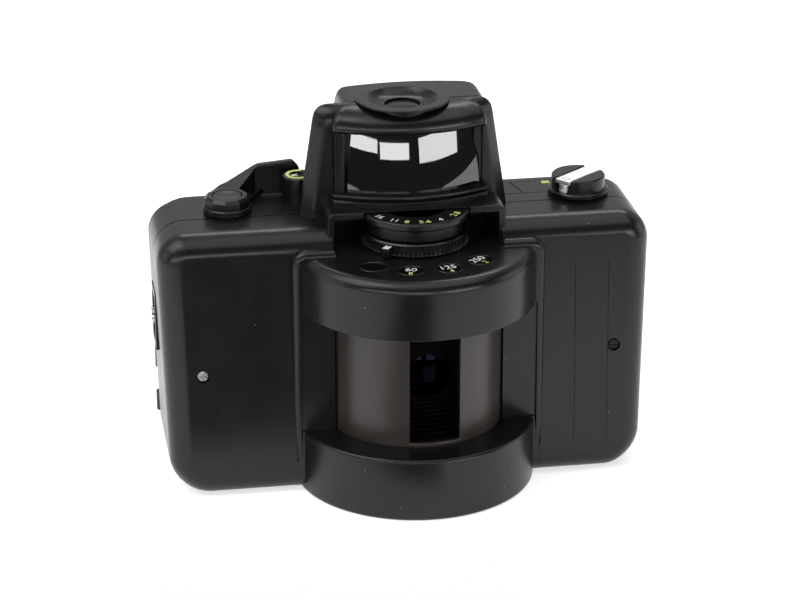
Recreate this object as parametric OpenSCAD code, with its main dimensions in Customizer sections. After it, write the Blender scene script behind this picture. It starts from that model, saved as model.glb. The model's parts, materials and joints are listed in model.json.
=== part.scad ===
// Swing-lens panoramic camera for 35 mm film, in millimetres.
// The lens drum turns about +Z through the origin, -Y is the front and z = 0 is the base.

/* [Body] */
// Overall width across both wings
body_w = 146; // [142:1:156]
// How far the drum's axis stands to the right of the body's middle
drum_offset = 2.9; // [2:0.1:3.4]
// Height of the wings' top deck
deck_z = 80; // [79:0.5:83]
// Reach of the wings' front face ahead of the drum axis, at the base
front_low = 10.5; // [9:0.5:13]
// Reach of the wings' front face ahead of the drum axis, at the deck
front_top = 6; // [4:0.5:8]
// Distance behind the drum axis where the front and rear shells meet
seam_y = 11; // [10.5:0.25:11.5]
// Distance behind the drum axis where the rear shell meets the back door
door_y = 28; // [28:0.5:32]
// Thickness of the back door
door_t = 6; // [5.5:0.5:8]
// Wall thickness of the shells
wall = 2.2; // [1.8:0.1:2.6]
// Radius of the wings' lower outer corners
corner_low = 11; // [8:0.5:13]
// Radius of the wings' upper outer corners
corner_top = 7; // [6:0.5:9]
// Rounding of the wings' front edges
front_fillet = 6; // [3:0.5:7]

/* [Drum housing] */
// Radius of the round housing in front of the drum
house_r = 35.8; // [35:0.1:38]
// Height of the housing's deck
house_z = 73.8; // [73:0.2:75]
// Rounding of the housing's upper rim
house_fillet = 3.6; // [2:0.2:5]
// Height of the ledge under the drum opening
open_low = 19.3; // [18:0.1:22]
// Height of the band over the drum opening
open_high = 56.3; // [54:0.1:57]
// Half width of the block behind the round housing
block_half = 37.2; // [36.8:0.1:38]
// Reach of the block's face ahead of the drum axis
block_front = 10; // [8:0.2:11]

/* [Lens drum] */
// Outside radius of the lens drum
drum_r = 25.2; // [24:0.1:25.6]
// Wall thickness of the drum
drum_wall = 1.6; // [1.2:0.1:2]
// Lower end of the drum
drum_low = 14; // [13.8:0.1:15]
// Upper end of the drum
drum_high = 62; // [60:0.1:62.4]
// Width of the drum's front window
window_w = 15; // [12:0.5:16]
// Height of the drum's front window
window_h = 35; // [32:0.5:36]
// Radius of the pivots at the drum's ends
pivot_r = 2.5; // [2:0.1:3]
// Radius of the lens barrel
barrel_r = 10.5; // [9:0.1:11]
// Inner radius of the curved film gate
gate_r = 26.2; // [26:0.1:26.6]
// Thickness of the curved film gate
gate_t = 1.4; // [1:0.1:1.6]
// Height of the film frame
frame_h = 24; // [22:0.5:25]

/* [Control rings] */
// Radius of the speed ring's grip
speed_r = 15.7; // [15:0.1:17]
// Radius of the aperture ring's rim
aperture_r = 16; // [15:0.1:16.8]
// Half width of the finger pocket around the rings
pocket_half = 24.7; // [22:0.1:26]
// Radius of the circle of speed recesses on the housing's deck
mark_circle = 24.8; // [23:0.1:26]
// Radius of a speed recess
mark_r = 3.7; // [3:0.1:4]

/* [Finder hump] */
// Place of the hump's middle beside the drum's axis
hump_x = -1.8; // [-2.5:0.1:0]
// Height of the finder hump's top
hump_z = 113.5; // [111:0.5:118]
// Half width of the hump at the deck
hump_half = 31; // [30.5:0.1:32]
// Half width of the hump at its shoulders
hump_top_half = 26.5; // [26:0.1:27.5]
// Front plane of the hump's side posts
post_y = 7; // [6:0.1:7.5]
// Lower edge of the finder glass
glass_low = 88; // [87.6:0.1:89]
// Upper edge of the finder glass
glass_high = 106.3; // [105:0.1:107]
// Radius of the visor's and sill's front curve
visor_r = 50; // [46:0.5:60]
// Outside radius of the level's bezel
level_r = 13.8; // [13:0.1:14.5]

/* [Film transport] */
// Distance of the winding axes behind the drum axis
film_y = 16.2; // [16:0.1:16.8]
// Distance of the take-up axis to the left of the drum axis
take_x = 53; // [52:0.1:55]
// Distance of the rewind axis to the right of the drum axis
rewind_x = 52.3; // [51:0.1:52.6]
// Radius of the take-up spool's core
spool_r = 6.5; // [5:0.1:7]
// Radius of the rewind knob
knob_r = 8; // [7.4:0.1:8.6]
// Length of the advance lever from its axis to its tip
lever_reach = 27; // [25:0.5:29]
// Width of the folding crank
crank_w = 5.4; // [5:0.1:5.8]

/* [Fasteners] */
// Radius of the tripod thread's crests
tripod_r = 2.58; // [2.5:0.01:2.7]
// Radius of the strap lugs
lug_r = 2.75; // [2.5:0.05:3]
// Radius of the eye in each strap lug
lug_eye_r = 1.1; // [0.9:0.05:1.2]

/* [Fits] */
// Radial clearance of a running fit
run = 0.05; // [0.02:0.01:0.08]
// Radial clearance of a fixed seat
seat = 0.02; // [0.01:0.01:0.04]
// Gap between neighbouring moving pieces
gap = 0.3; // [0.2:0.05:0.4]

/* [Hidden] */
$fn = 64;
eps = 0.01;
far = 200;
lap = 0.2;
body_half = body_w / 2;
left_end = -body_half - drum_offset;
right_end = body_half - drum_offset;
back_y = door_y + door_t;
axis_z = (open_low + open_high) / 2;
lean = atan((front_low - front_top) / deck_z);
cheek_half = drum_r + 0.5;
opening_half = block_half - 2;
block_wall_y = 7;
ceiling_low = house_z + 9.2;
ceiling_t = 2;
ring_bay_r = max(speed_r, aperture_r) + 0.4;
floor_z = ceiling_low + ceiling_t;
floor_t = 1.2;

// Finder: glass between visor and sill, lens tunnel, eyepiece and level
glass_half = 20.8;
glass_r = 40;
glass_t = 1.6;
glass_front = 1.5;
glass_gap = 0.2;
bay_half = glass_half + 1.7;
visor_front = -1;
sill_front = -3;
rear_left = hump_half + hump_x - 21.8;
rear_right = 1;
back_wall_y = 18;
vial_r = 5.2;
vial_h = 3.2;
bezel_seat = 3.2;
bezel_h = 0.8;
dish_depth = 2.6;
tunnel_top = hump_z - dish_depth - vial_h - 0.8;
tunnel_half = 16.5;
tunnel_wall = 2;
finder_z = (floor_z + floor_t + tunnel_top) / 2;
tunnel_bore_h = (tunnel_top - floor_z - floor_t) / 2 - tunnel_wall;
eye_lens_r = 8.2;
eye_ring_r = 10.5;
eye_ring_bore = 7.6;
eye_ring_t = 4.5;

// Control rings and the marks round them
mark_angles = [-38, -12, 14, 40];
mark_depth = 0.5;
speed_tube_r = 9;
speed_grip_t = 4.2;
aperture_tube_r = 7;
aperture_bore_r = 5;
pointer_angle = -38;
pointer_w = 2.6;
pointer_reach = 2.2;

// Chassis plates over and under the drum
chassis_r = house_r - wall - 1.6;
chassis_back = 26.5;
chassis_t = 2;
lower_top = drum_low - 4;
upper_low = drum_high + 3.5;
chassis_post_r = 2.5;
chassis_post_circle = chassis_r - 4;
chassis_post_angles = [45, 135, 250, 290];
bush_r = 4.5;
pivot_reach = 2;
roller_circle = gate_r + gate_t + 2.6;
roller_angle = 28;
roller_x = roller_circle * cos(roller_angle);
roller_y = roller_circle * sin(roller_angle);
roller_r = 2;
roller_pin_r = 0.9;
roller_ear_r = 2.4;

// Optics inside the drum, which rests a little turned to the right
drum_turn = 4.2;
drum_inner_r = drum_r - drum_wall;
drum_end_t = 2;
optics_low = drum_low + drum_end_t;
optics_high = drum_high - drum_end_t;
barrel_wall = 1.5;
barrel_front = -16.2;
barrel_back = 8;
glass_spans = [[-15, -12], [-8, -5], [2, 5]];
stop_y = -2.7;
stop_t = 0.6;
stop_half_h = 5.6;
stop_notch = 1.1;
hood_wall = 1.2;
blade_w = 5;
blade_h = frame_h + 4;
blade_t = 0.8;
blade_gap = 0.3;
blade_plane = drum_inner_r - 4;
rail_half = 8.4;

// Gears: the drum drives the governor, and the spool drives the sprocket roller
drum_teeth = 58;
governor_teeth = 12;
gear_run = 0.1;
governor_room = 2.075;
// The governor's outer edge clears the housing's wall by the governor's room
drum_module = (house_r - wall - gear_run - governor_room) / (drum_teeth / 2 + governor_teeth + 0.9);
governor_angle = -40;
governor_d = drum_module * (drum_teeth + governor_teeth) / 2 + gear_run;
governor_x = governor_d * cos(governor_angle);
governor_y = governor_d * sin(governor_angle);
governor_spindle_r = 1.5;
film_module = 0.8;
spool_teeth = 24;
sprocket_gear_teeth = 20;
sprocket_angle = 9;
sprocket_d = film_module * (spool_teeth + sprocket_gear_teeth) / 2 + 0.1;
sprocket_x = -take_x + sprocket_d * cos(sprocket_angle);
sprocket_y = film_y + sprocket_d * sin(sprocket_angle);
sprocket_r = 5.6;
sprocket_teeth = 8;
film_low = axis_z - 17.5;
film_high = axis_z + 17.5;
spool_low = film_low - 1.4;
spool_high = film_high + 1.4;
spool_flange_t = 1.2;
spool_flange_r = spool_r + 3.8;
film_gear_low = spool_high + 2.6;
film_gear_t = 2.4;
spindle_r = 2;
boss_r = 4;
boss_top = 7;

// Winding pieces on the left deck
lever_shaft_r = 3;
top_bush_r = 4.4;
top_bush_low = deck_z - 6;
lever_low = deck_z + 0.5;
lever_ring_t = 1.7;
lever_ring_r = 7.1;
hub_low = lever_low + lever_ring_t;
hub_high = hub_low + 2.1;
hub_r = 6.5;
button_r = 3.85;
button_stem_r = 1.4;
button_travel = 1.2;
button_floor = hub_low + 0.4;
button_t = 0.9;
shaft_low = film_gear_low + film_gear_t + 0.6;
thumb_high = deck_z + 10.4;
thumb_t = 2.4;
thumb_back = door_y + 3.4;
thumb_len = 14;
counter_x = -31;
counter_y = 22.8;
counter_r = 4.9;
counter_high = deck_z + 7.6;
counter_wall = 0.9;
counter_pin_r = 1;

// Rewind pieces on the right deck
sleeve_r = 3.5;
rewind_shaft_r = 2.3;
sleeve_low = deck_z - 10;
knob_low = deck_z + 0.6;
flange_t = 1.3;
flange_r = knob_r + 1;
knob_high = deck_z + 5.4;
crank_t = 1.2;
crank_len = 2 * knob_r - 2.6;
crank_tail = 1.6;
crank_turn = 40;
crank_pivot = knob_r - 2.2;
crank_z = knob_high - 0.8;
crank_pin_r = 0.5;
stud_r = 0.6;
stud_x = crank_len - crank_pivot - 1.6;
grip_r = 1.4;
grip_h = 1.6;
fork_low = film_high + 4;

// Back door, its hinge and its latch
hinge_x = left_end + 3.5;
hinge_y = door_y + door_t / 2;
knuckle_r = door_t / 2 - 0.15;
hinge_pin_r = 1.1;
hinge_low = 14;
hinge_high = deck_z - 10;
lug_spans = [[18, 26], [deck_z - 22, deck_z - 14]];
door_gap = 0.15;
latch_x = right_end - wall - 0.2;
latch_t = 1.7;
latch_low = 20;
latch_h = 12;
latch_travel = 3;
keeper_h = 3;
hook_h = 3;
seal_w = 4;
seal_t = 1.4;

// Fasteners and lugs
strap_y = 18;
strap_z = 48;
strap_slot = [8, 14];
strap_depth = 2.4;
strap_boss = 3;
strap_boss_size = [11.2, 18];
lug_stand = 0.4;
base_plate_size = [48, 25];
base_plate_y = -1.5;
base_plate_t = 1.6;
base_sink = 0.2;
base_screw_spots = [[-16, -8], [16, -8], [-16, 6], [16, 6]];
screw_r = 1;
screw_head_r = 1.9;
screw_head_t = 1.2;
screw_sink = 0.4;
base_boss_r = 2.4;
front_boss_r = 3;
bush_neck_r = 4.5;
bush_flange_r = 6;
front_screw_spots = [[left_end + 12.2, 38.3], [right_end - 11.4, 40.2]];
screw_tab_y = -2;
screw_tab_t = 4;
release_spot = [-8, 21];
release_r = 3;
tripod_top = 7.4;
tripod_depth = 6;

// A quarter round of points about (cx, cz), starting at the angle a0
function quarter(cx, cz, r, a0) = [for (i = [0:5]) [cx + r * cos(a0 + 18 * i), cz + r * sin(a0 + 18 * i)]];

// Where the body ends on the left or the right side
function end_x(side) = side < 0 ? left_end : right_end;

// The wings' outline seen from the front, drawn in by a margin
module wing_outline(inset = 0) {
    low = left_end + inset;
    x = right_end - inset;
    hi = deck_z - inset;
    rt = max(corner_top - inset, 0.4);
    rl = max(corner_low - inset, 0.4);
    polygon(concat(
        quarter(x - rt, hi - rt, rt, 0),
        quarter(low + rt, hi - rt, rt, 90),
        quarter(low + rl, inset + rl, rl, 180),
        quarter(x - rl, inset + rl, rl, 270)
    ));
}

// Extrudes a front outline from y0 back to y1
module slab(y0, y1) {
    translate([0, y1, 0]) rotate([90, 0, 0]) linear_extrude(y1 - y0) children();
}

// A box given by its lower and upper corners
module block(low, high) {
    translate(low) cube(high - low);
}

// An upright round bar between two heights
module bar(x, y, r, low, high) {
    translate([x, y, low]) cylinder(r = r, h = high - low);
}

// A piece of a ring about the drum axis
module arc_ring(r_in, r_out, low, high, a0, a1) {
    rotate([0, 0, a0])
        rotate_extrude(angle = a1 - a0)
            translate([r_in, low])
                square([r_out - r_in, high - low]);
}

// The leaning front of both wings, with rounded edges
module wing_solid(inset) {
    hull() {
        for (step = [[0, front_fillet], [front_fillet * 0.3, front_fillet * 0.3], [front_fillet, 0]])
            translate([0, -front_low + inset, 0])
                rotate([-lean, 0, 0])
                    slab(step[0], step[0] + 0.1) wing_outline(inset + step[1]);
        slab(seam_y - 0.1, seam_y) wing_outline(inset);
    }
}

// Toothed wheel in plan, with a tooth pointing along the angle a
module gear_plan(teeth, m, a) {
    r = teeth * m / 2;
    pitch = 360 / teeth;
    polygon([
        for (i = [0:teeth - 1])
            for (p = [[-0.3, -1.2], [-0.11, 0.9], [0.11, 0.9], [0.3, -1.2]])
                let (t = a + pitch * (i + p[0]), q = r + p[1] * m)
                    [q * cos(t), q * sin(t)]
    ]);
}

// The hump's outline seen from the front, from half width at the deck to its shoulders
module hump_outline(left_low, left_top, right_low, right_top, inset) {
    shoulder = hump_z - 6;
    polygon([
        [-left_low + inset, house_z - 2],
        [right_low - inset, house_z - 2],
        [right_low - inset, deck_z],
        [right_top - inset, shoulder],
        [right_top - 1.8 - inset, hump_z - 1.8 - inset],
        [right_top - 5.5, hump_z - inset],
        [-left_top + 5.5, hump_z - inset],
        [-left_top + 1.8 + inset, hump_z - 1.8 - inset],
        [-left_top + inset, shoulder],
        [-left_low + inset, deck_z]
    ]);
}

// A lip with a round front, for the visor and the sill of the finder
module finder_lip(front, low, high, half) {
    intersection() {
        bar(0, front + visor_r, visor_r, low, high);
        block([-half, front - 1, low], [half, seam_y, high]);
    }
}

module house_solid(margin) {
    r = house_r - margin;
    f = max(house_fillet - margin, 0.2);
    z = house_z - margin;
    rotate_extrude()
        polygon(concat(
            [[0, margin], [r - 1, margin], [r, margin + 1]],
            quarter(r - f, z - f, f, 0),
            [[0, z]]
        ));
}

module front_body() {
    wing_solid(0);
    difference() {
        house_solid(0);
        block([-far, 0, -1], [far, far, far]);
    }
    block([-block_half, -block_front, 0], [block_half, seam_y, house_z]);
}

module front_cavity() {
    difference() {
        wing_solid(wall);
        block([-block_half, -far, -1], [block_half, block_wall_y, house_z]);
    }
    block([-block_half, block_wall_y, wall], [block_half, seam_y + eps, house_z - wall]);
    difference() {
        house_solid(wall);
        block([-far, 0, -1], [far, far, far]);
    }
    block([-opening_half, -block_front + wall, wall], [opening_half, seam_y + eps, house_z - wall]);
    block([-opening_half, -far, open_low], [opening_half, -block_front, open_high]);
    block([-cheek_half, -block_front - eps, open_low], [cheek_half, 0, open_high]);
}

// Ledge and lip that close the bands round the drum, and the cheeks at its sides
module band_closures() {
    for (low = [open_low - wall, open_high])
        difference() {
            union() {
                intersection() {
                    bar(0, 0, house_r - wall + lap, low, low + wall);
                    block([-far, -far, low], [far, 0, low + wall]);
                }
                block([-opening_half - lap, -block_front + wall - lap, low],
                      [opening_half + lap, block_wall_y - 2, low + wall]);
            }
            bar(0, 0, drum_r + 0.7, low - 1, low + wall + 1);
        }
    for (x = [-opening_half - lap, cheek_half])
        block([x, -block_front, open_low - lap],
              [x + opening_half + lap - cheek_half, -block_front + wall, open_high + lap]);
}

module hump_front() {
    difference() {
        union() {
            translate([hump_x, 0, 0]) {
                slab(post_y, seam_y) hump_outline(hump_half, hump_top_half, hump_half, hump_top_half, 0);
                finder_lip(visor_front, glass_high, hump_z, hump_top_half - 2.5);
                finder_lip(sill_front, floor_z, glass_low, pocket_half);
            }
            block([-pocket_half - 1, -front_top + 1.5, ceiling_low], [pocket_half + 1, seam_y, floor_z]);
        }
        translate([hump_x, 0, 0]) {
            block([-glass_half - glass_gap, -far, glass_low], [glass_half + glass_gap, far, glass_high]);
            block([-bay_half, post_y + 1.5, floor_z + floor_t], [bay_half, far, tunnel_top + 1.6]);
        }
        bar(0, 0, ring_bay_r, house_z - 3, floor_z);
    }
}

module deck_seats() {
    for (a = mark_angles)
        translate([mark_circle * sin(a), -mark_circle * cos(a), house_z - mark_depth])
            cylinder(r = mark_r, h = 1);
    bar(0, 0, speed_tube_r + run, house_z - wall - 1, house_z + 1);
}

// Seat for the level's bezel, half in each shell
module level_seat() {
    bar(hump_x, seam_y, level_r - bezel_seat + seat, tunnel_top + 0.4, far);
}

module front_shell() {
    color("#232427")
    difference() {
        union() {
            difference() {
                front_body();
                front_cavity();
                block([-pocket_half, -far, house_z], [pocket_half, far, floor_z]);
            }
            band_closures();
            block([-block_half + lap, -block_front + lap, house_z - wall],
                  [block_half - lap, seam_y, house_z]);
            hump_front();
            for (s = base_screw_spots)
                bar(s[0], s[1], base_boss_r, wall - lap, boss_top);
            for (s = front_screw_spots)
                translate([s[0], 0, s[1]])
                    slab(-front_low + 4, screw_tab_y) circle(r = front_boss_r);
        }
        block([-far, -far, -far], [far, far, 0]);
        deck_seats();
        level_seat();
        base_plate_block(0, -1, base_plate_t + base_sink);
        bar(0, 0, bush_neck_r + seat, -1, wall + 1);
        for (s = base_screw_spots)
            bar(s[0], s[1], screw_r + seat, -1, boss_top - 1);
        for (s = front_screw_spots)
            translate([s[0], 0, s[1]]) {
                slab(-far, -front_face(s[1]) + screw_sink + screw_head_t) circle(r = screw_head_r + 0.1);
                slab(-far, far) circle(r = screw_r + seat);
            }
    }
}

// The base plate's block, grown by a margin, between two heights
module base_plate_block(margin, low, high) {
    x = base_plate_size[0] / 2 + margin;
    y = base_plate_size[1] / 2 + margin;
    block([-x, base_plate_y - y, low], [x, base_plate_y + y, high]);
}

// Reach of the leaning front face at a height
function front_face(z) = front_low - (front_low - front_top) * z / deck_z;

module rear_ring() {
    difference() {
        slab(seam_y, door_y) wing_outline(0);
        slab(seam_y - 1, door_y + 1) wing_outline(wall);
    }
}

// The rear hump is drawn in on the left, where the winding lever and the counter stand
module rear_outline(inset) {
    translate([hump_x, 0])
        hump_outline(hump_half - rear_left, hump_top_half - rear_left,
                     hump_half - rear_right, hump_top_half - rear_right, inset);
}

module hump_rear() {
    difference() {
        slab(seam_y, door_y) rear_outline(0);
        slab(seam_y - 1, door_y - wall) rear_outline(wall);
    }
    left = hump_x - hump_half + rear_left + 1;
    right = hump_x + hump_half - rear_right - wall;
    block([left, seam_y, floor_z], [right, door_y - 1, floor_z + floor_t]);
    block([left, back_wall_y, house_z - 1], [right, back_wall_y + wall, floor_z + lap]);
    block([-block_half, seam_y, house_z - wall], [block_half, door_y, house_z]);
}

// Arm of the rear shell that reaches forward inside the front shell to a front screw
module screw_tab(side, x, z) {
    outer = abs(end_x(side));
    inner = outer - wall - 1.2;
    low = z - front_boss_r;
    high = z + front_boss_r;
    mirror([side < 0 ? 1 : 0, 0, 0]) {
        block([x - front_boss_r, screw_tab_y, low], [inner, screw_tab_y + screw_tab_t, high]);
        block([inner - wall, screw_tab_y, low], [inner, seam_y + 3, high]);
        block([inner - wall, seam_y + lap, low], [outer - lap, seam_y + 3, high]);
    }
}

module rear_shell() {
    color("#26272a")
    difference() {
        union() {
            rear_ring();
            hump_rear();
            bar(-take_x, film_y, boss_r, wall - 0.2, boss_top);
            bar(sprocket_x, sprocket_y, boss_r, wall - 0.2, boss_top);
            bar(sprocket_x, sprocket_y, boss_r, film_gear_low + film_gear_t + 0.6, house_z - wall + lap);
            for (side = [-1, 1])
                translate([end_x(side) - side * (wall + strap_boss + lap) / 2, strap_y, strap_z])
                    cube([wall + strap_boss - lap, strap_boss_size[0], strap_boss_size[1]], center = true);
            for (s = front_screw_spots)
                screw_tab(sign(s[0]), abs(s[0]), s[1]);
            for (span = lug_spans) {
                bar(hinge_x, hinge_y, knuckle_r, span[0], span[1]);
                block([hinge_x - knuckle_r, door_y - 1, span[0]], [hinge_x, hinge_y, span[1]]);
            }
        }
        bar(0, 0, ring_bay_r, house_z, floor_z);
        level_seat();
        for (x = [-take_x, rewind_x])
            bar(x, film_y, top_bush_r + seat, deck_z - wall - 1, deck_z + 1);
        bar(-take_x, film_y, spindle_r + run, wall + 0.6, boss_top + 1);
        bar(sprocket_x, sprocket_y, spindle_r + run, wall + 0.6, boss_top + 1);
        bar(sprocket_x, sprocket_y, spindle_r + run, film_gear_low, house_z - wall - 0.6);
        translate([hump_x, 0, finder_z]) slab(door_y - wall - 1, far) circle(r = eye_lens_r);
        for (side = [-1, 1])
            translate([end_x(side), strap_y, strap_z]) {
                block([-strap_depth, -strap_slot[0] / 2, -strap_slot[1] / 2],
                      [strap_depth, strap_slot[0] / 2, strap_slot[1] / 2]);
                rotate([0, side * -90, 0]) cylinder(r = lug_r + seat, h = strap_depth + 2);
            }
        for (s = front_screw_spots)
            translate([s[0], 0, s[1]])
                slab(screw_tab_y - 1, screw_tab_y + screw_tab_t + 1) circle(r = screw_r + seat);
        bar(hinge_x, hinge_y, hinge_pin_r + seat, 0, far);
        block([latch_x - 1, strap_y - 2.2, latch_low - 0.2],
              [far, strap_y + 2.2, latch_low + latch_h + latch_travel + 0.2]);
        bar(release_spot[0], release_spot[1], release_r + run, -1, wall + 1);
    }
}

module base_plate() {
    color("#303135")
    difference() {
        base_plate_block(-0.1, base_sink, base_plate_t + base_sink);
        bar(0, 0, bush_neck_r + seat, -1, far);
        for (s = base_screw_spots) {
            bar(s[0], s[1], screw_r + seat, -1, far);
            bar(s[0], s[1], screw_head_r + 0.1, -1, 1);
        }
    }
}

module tripod_bush() {
    color("#b9b4a8")
    difference() {
        union() {
            bar(0, 0, bush_neck_r, 0, wall + 0.5);
            bar(0, 0, bush_flange_r, wall, tripod_top);
        }
        bar(0, 0, tripod_r, -1, tripod_depth);
    }
}

module base_screws() {
    color("#8d8f92")
    for (s = base_screw_spots)
        difference() {
            union() {
                bar(s[0], s[1], screw_head_r, base_sink, 1);
                bar(s[0], s[1], screw_r, 0.9, boss_top - 1.2);
            }
            block([s[0] - 1.2, s[1] - 0.25, -1], [s[0] + 1.2, s[1] + 0.25, 0.6]);
        }
}

module front_screws() {
    color("#8d8f92")
    for (s = front_screw_spots)
        translate([s[0], 0, s[1]])
            difference() {
                union() {
                    slab(-front_face(s[1]) + screw_sink, -front_face(s[1]) + screw_sink + screw_head_t)
                        circle(r = screw_head_r);
                    slab(-front_face(s[1]) + screw_sink + 1, screw_tab_y + screw_tab_t - 0.4)
                        circle(r = screw_r);
                }
                for (turn = [30, 120])
                    rotate([0, turn, 0])
                        block([-1.2, -far, -0.25], [1.2, -front_face(s[1]) + 0.9, 0.25]);
            }
}

module strap_lugs() {
    color("#c8cacd")
    for (side = [-1, 1])
        translate([end_x(side) + side * lug_stand, strap_y, strap_z])
            difference() {
                rotate([0, side * -90, 0]) cylinder(r = lug_r, h = lug_stand + strap_depth + 1.8);
                translate([side * -1.75, 0, -lug_r - 1]) cylinder(r = lug_eye_r, h = 2 * lug_r + 2);
            }
}

// A round chassis plate with posts, clipped at the back
module chassis_plate(low, post_low, post_high) {
    difference() {
        union() {
            intersection() {
                bar(0, 0, chassis_r, low, low + chassis_t);
                block([-far, -far, low], [far, chassis_back, low + chassis_t]);
            }
            for (side = [-1, 1])
                bar(side * roller_x, roller_y, roller_ear_r, low, low + chassis_t);
            for (a = chassis_post_angles)
                rotate([0, 0, a]) bar(chassis_post_circle, 0, chassis_post_r, post_low, post_high);
        }
        bar(0, 0, bush_r + seat, low - 1, low + chassis_t + 1);
        for (side = [-1, 1])
            bar(side * roller_x, roller_y, roller_pin_r + run, low - 1, low + chassis_t + 1);
    }
}

module lower_chassis() {
    color("#a9a58f")
    difference() {
        chassis_plate(lower_top - chassis_t, wall, lower_top - eps);
        bar(governor_x, governor_y, governor_spindle_r + run, 0, far);
    }
}

module upper_chassis() {
    color("#a9a58f")
    chassis_plate(upper_low, upper_low + eps, house_z - wall);
}

module drum_bushes() {
    color("#b58d3d")
    for (low = [lower_top - chassis_t, upper_low])
        difference() {
            bar(0, 0, bush_r, low, low + chassis_t + 0.4);
            bar(0, 0, pivot_r + run, low - 1, low + chassis_t + 1);
        }
}

module film_gate() {
    color("#1d1d1f")
    difference() {
        arc_ring(gate_r, gate_r + gate_t, lower_top, upper_low, 18, 162);
        arc_ring(gate_r - 1, gate_r + gate_t + 1, axis_z - frame_h / 2, axis_z + frame_h / 2, 30, 150);
        arc_ring(gate_r - 1, gate_r + gate_t + 1, lower_top - 1, drum_low + 1.5, 23, 157);
    }
}

module finder_window() {
    color("#2b3036", 0.5)
    intersection() {
        difference() {
            bar(hump_x, glass_front + glass_r, glass_r, glass_low, glass_high);
            bar(hump_x, glass_front + glass_r, glass_r - glass_t, glass_low - 1, glass_high + 1);
        }
        block([hump_x - glass_half, -far, glass_low], [hump_x + glass_half, seam_y, glass_high]);
    }
}

module finder_lenses() {
    color("#9fb4bd", 0.5) {
        block([hump_x - tunnel_half + tunnel_wall, seam_y + 2, finder_z - tunnel_bore_h],
              [hump_x + tunnel_half - tunnel_wall, seam_y + 4, finder_z + tunnel_bore_h]);
        translate([hump_x, 0, finder_z]) slab(door_y - wall, door_y) circle(r = eye_lens_r - seat);
    }
}

// Blackened box that carries the inner finder lens
module finder_tunnel() {
    color("#17171a")
    translate([hump_x, 0, 0])
    difference() {
        block([-tunnel_half, seam_y + 0.5, floor_z + floor_t], [tunnel_half, door_y - wall - 1, tunnel_top]);
        block([-tunnel_half + tunnel_wall, seam_y, finder_z - tunnel_bore_h],
              [tunnel_half - tunnel_wall, door_y, finder_z + tunnel_bore_h]);
    }
}

module eyepiece_ring() {
    color("#1c1c1e")
    translate([hump_x, 0, finder_z])
        difference() {
            slab(door_y, door_y + eye_ring_t) circle(r = eye_ring_r);
            slab(door_y - 1, far) circle(r = eye_ring_bore);
        }
}

module level_bezel() {
    seat_r = level_r - bezel_seat;
    dish_low = hump_z - dish_depth;
    color("#26272a")
    translate([hump_x, seam_y, 0])
        rotate_extrude()
            polygon([
                [vial_r, dish_low], [seat_r - 0.2, hump_z - 0.1], [seat_r - 0.2, hump_z + bezel_h],
                [level_r - 0.5, hump_z + bezel_h], [level_r, hump_z + bezel_h - 0.5], [level_r, hump_z],
                [seat_r, hump_z], [seat_r, dish_low - 1.4], [vial_r, dish_low - 1.4]
            ]);
}

module level_vial() {
    color("#3a3d3a", 0.8)
    bar(hump_x, seam_y, vial_r - seat, hump_z - dish_depth - vial_h, hump_z - dish_depth - 0.2);
}

module speed_marks() {
    color("#1b1b1d")
    for (a = mark_angles)
        translate([mark_circle * sin(a), -mark_circle * cos(a), house_z - mark_depth])
            cylinder(r = mark_r - seat, h = mark_depth - 0.15);
}

module counter_turret() {
    color("#1e1e20")
    difference() {
        bar(counter_x, counter_y, counter_r, deck_z, counter_high);
        bar(counter_x, counter_y, counter_r - counter_wall, counter_high - 2.2, far);
        bar(counter_x, counter_y, counter_pin_r + run, deck_z + 1, far);
    }
}

module counter_window() {
    color("#cfd6d8", 0.35)
    bar(counter_x, counter_y, counter_r - counter_wall - seat, counter_high - 0.7, counter_high);
}

module counter_dial() {
    color("#d8d8a0") {
        bar(counter_x, counter_y, counter_r - counter_wall - 0.3, counter_high - 2, counter_high - 1.2);
        bar(counter_x, counter_y, counter_pin_r, deck_z + 1.4, counter_high - 1.9);
    }
}

module top_bushes() {
    color("#b58d3d") {
        difference() {
            bar(-take_x, film_y, top_bush_r, top_bush_low, deck_z + 0.2);
            bar(-take_x, film_y, lever_shaft_r + run, top_bush_low - 1, far);
        }
        difference() {
            bar(rewind_x, film_y, top_bush_r, top_bush_low, deck_z + 0.2);
            bar(rewind_x, film_y, sleeve_r + run, top_bush_low - 1, far);
        }
    }
}

module door_hinge_pin() {
    color("#b7babd")
    bar(hinge_x, hinge_y, hinge_pin_r, hinge_low, hinge_high);
}

// Foam strips along the door's two upright edges
module light_seals() {
    color("#141414") {
        block([left_end + wall, door_y - seal_w, 12],
              [left_end + wall + seal_t, door_y - 1.2, deck_z - 12]);
        block([right_end - wall - seal_t, door_y - seal_w, strap_z - 8],
              [right_end - wall, door_y - 0.2, deck_z - 12]);
    }
}

module release_spring() {
    color("#9a9da0")
    difference() {
        bar(release_spot[0], release_spot[1], 2.2, wall + 1.2, lower_top - chassis_t);
        bar(release_spot[0], release_spot[1], 1.5, 0, far);
    }
}

// Turns a piece to where the drum rests
module in_drum() {
    rotate([0, 0, drum_turn]) children();
}

module lens_drum() {
    color("#443f3d")
    difference() {
        bar(0, 0, drum_r, drum_low, drum_high);
        bar(0, 0, drum_inner_r, optics_low, optics_high);
        in_drum() {
            block([-window_w / 2, -far, axis_z - window_h / 2], [window_w / 2, 0, axis_z + window_h / 2]);
            block([-1.6, 0, axis_z - frame_h / 2 - 0.5], [1.6, far, axis_z + frame_h / 2 + 0.5]);
        }
        bar(0, 0, pivot_r + seat, 0, far);
    }
}

module drum_pivots() {
    color("#b7babd") {
        bar(0, 0, pivot_r, lower_top - chassis_t + 0.2, drum_low + pivot_reach);
        bar(0, 0, pivot_r, drum_high - pivot_reach, upper_low + chassis_t);
    }
}

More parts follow.
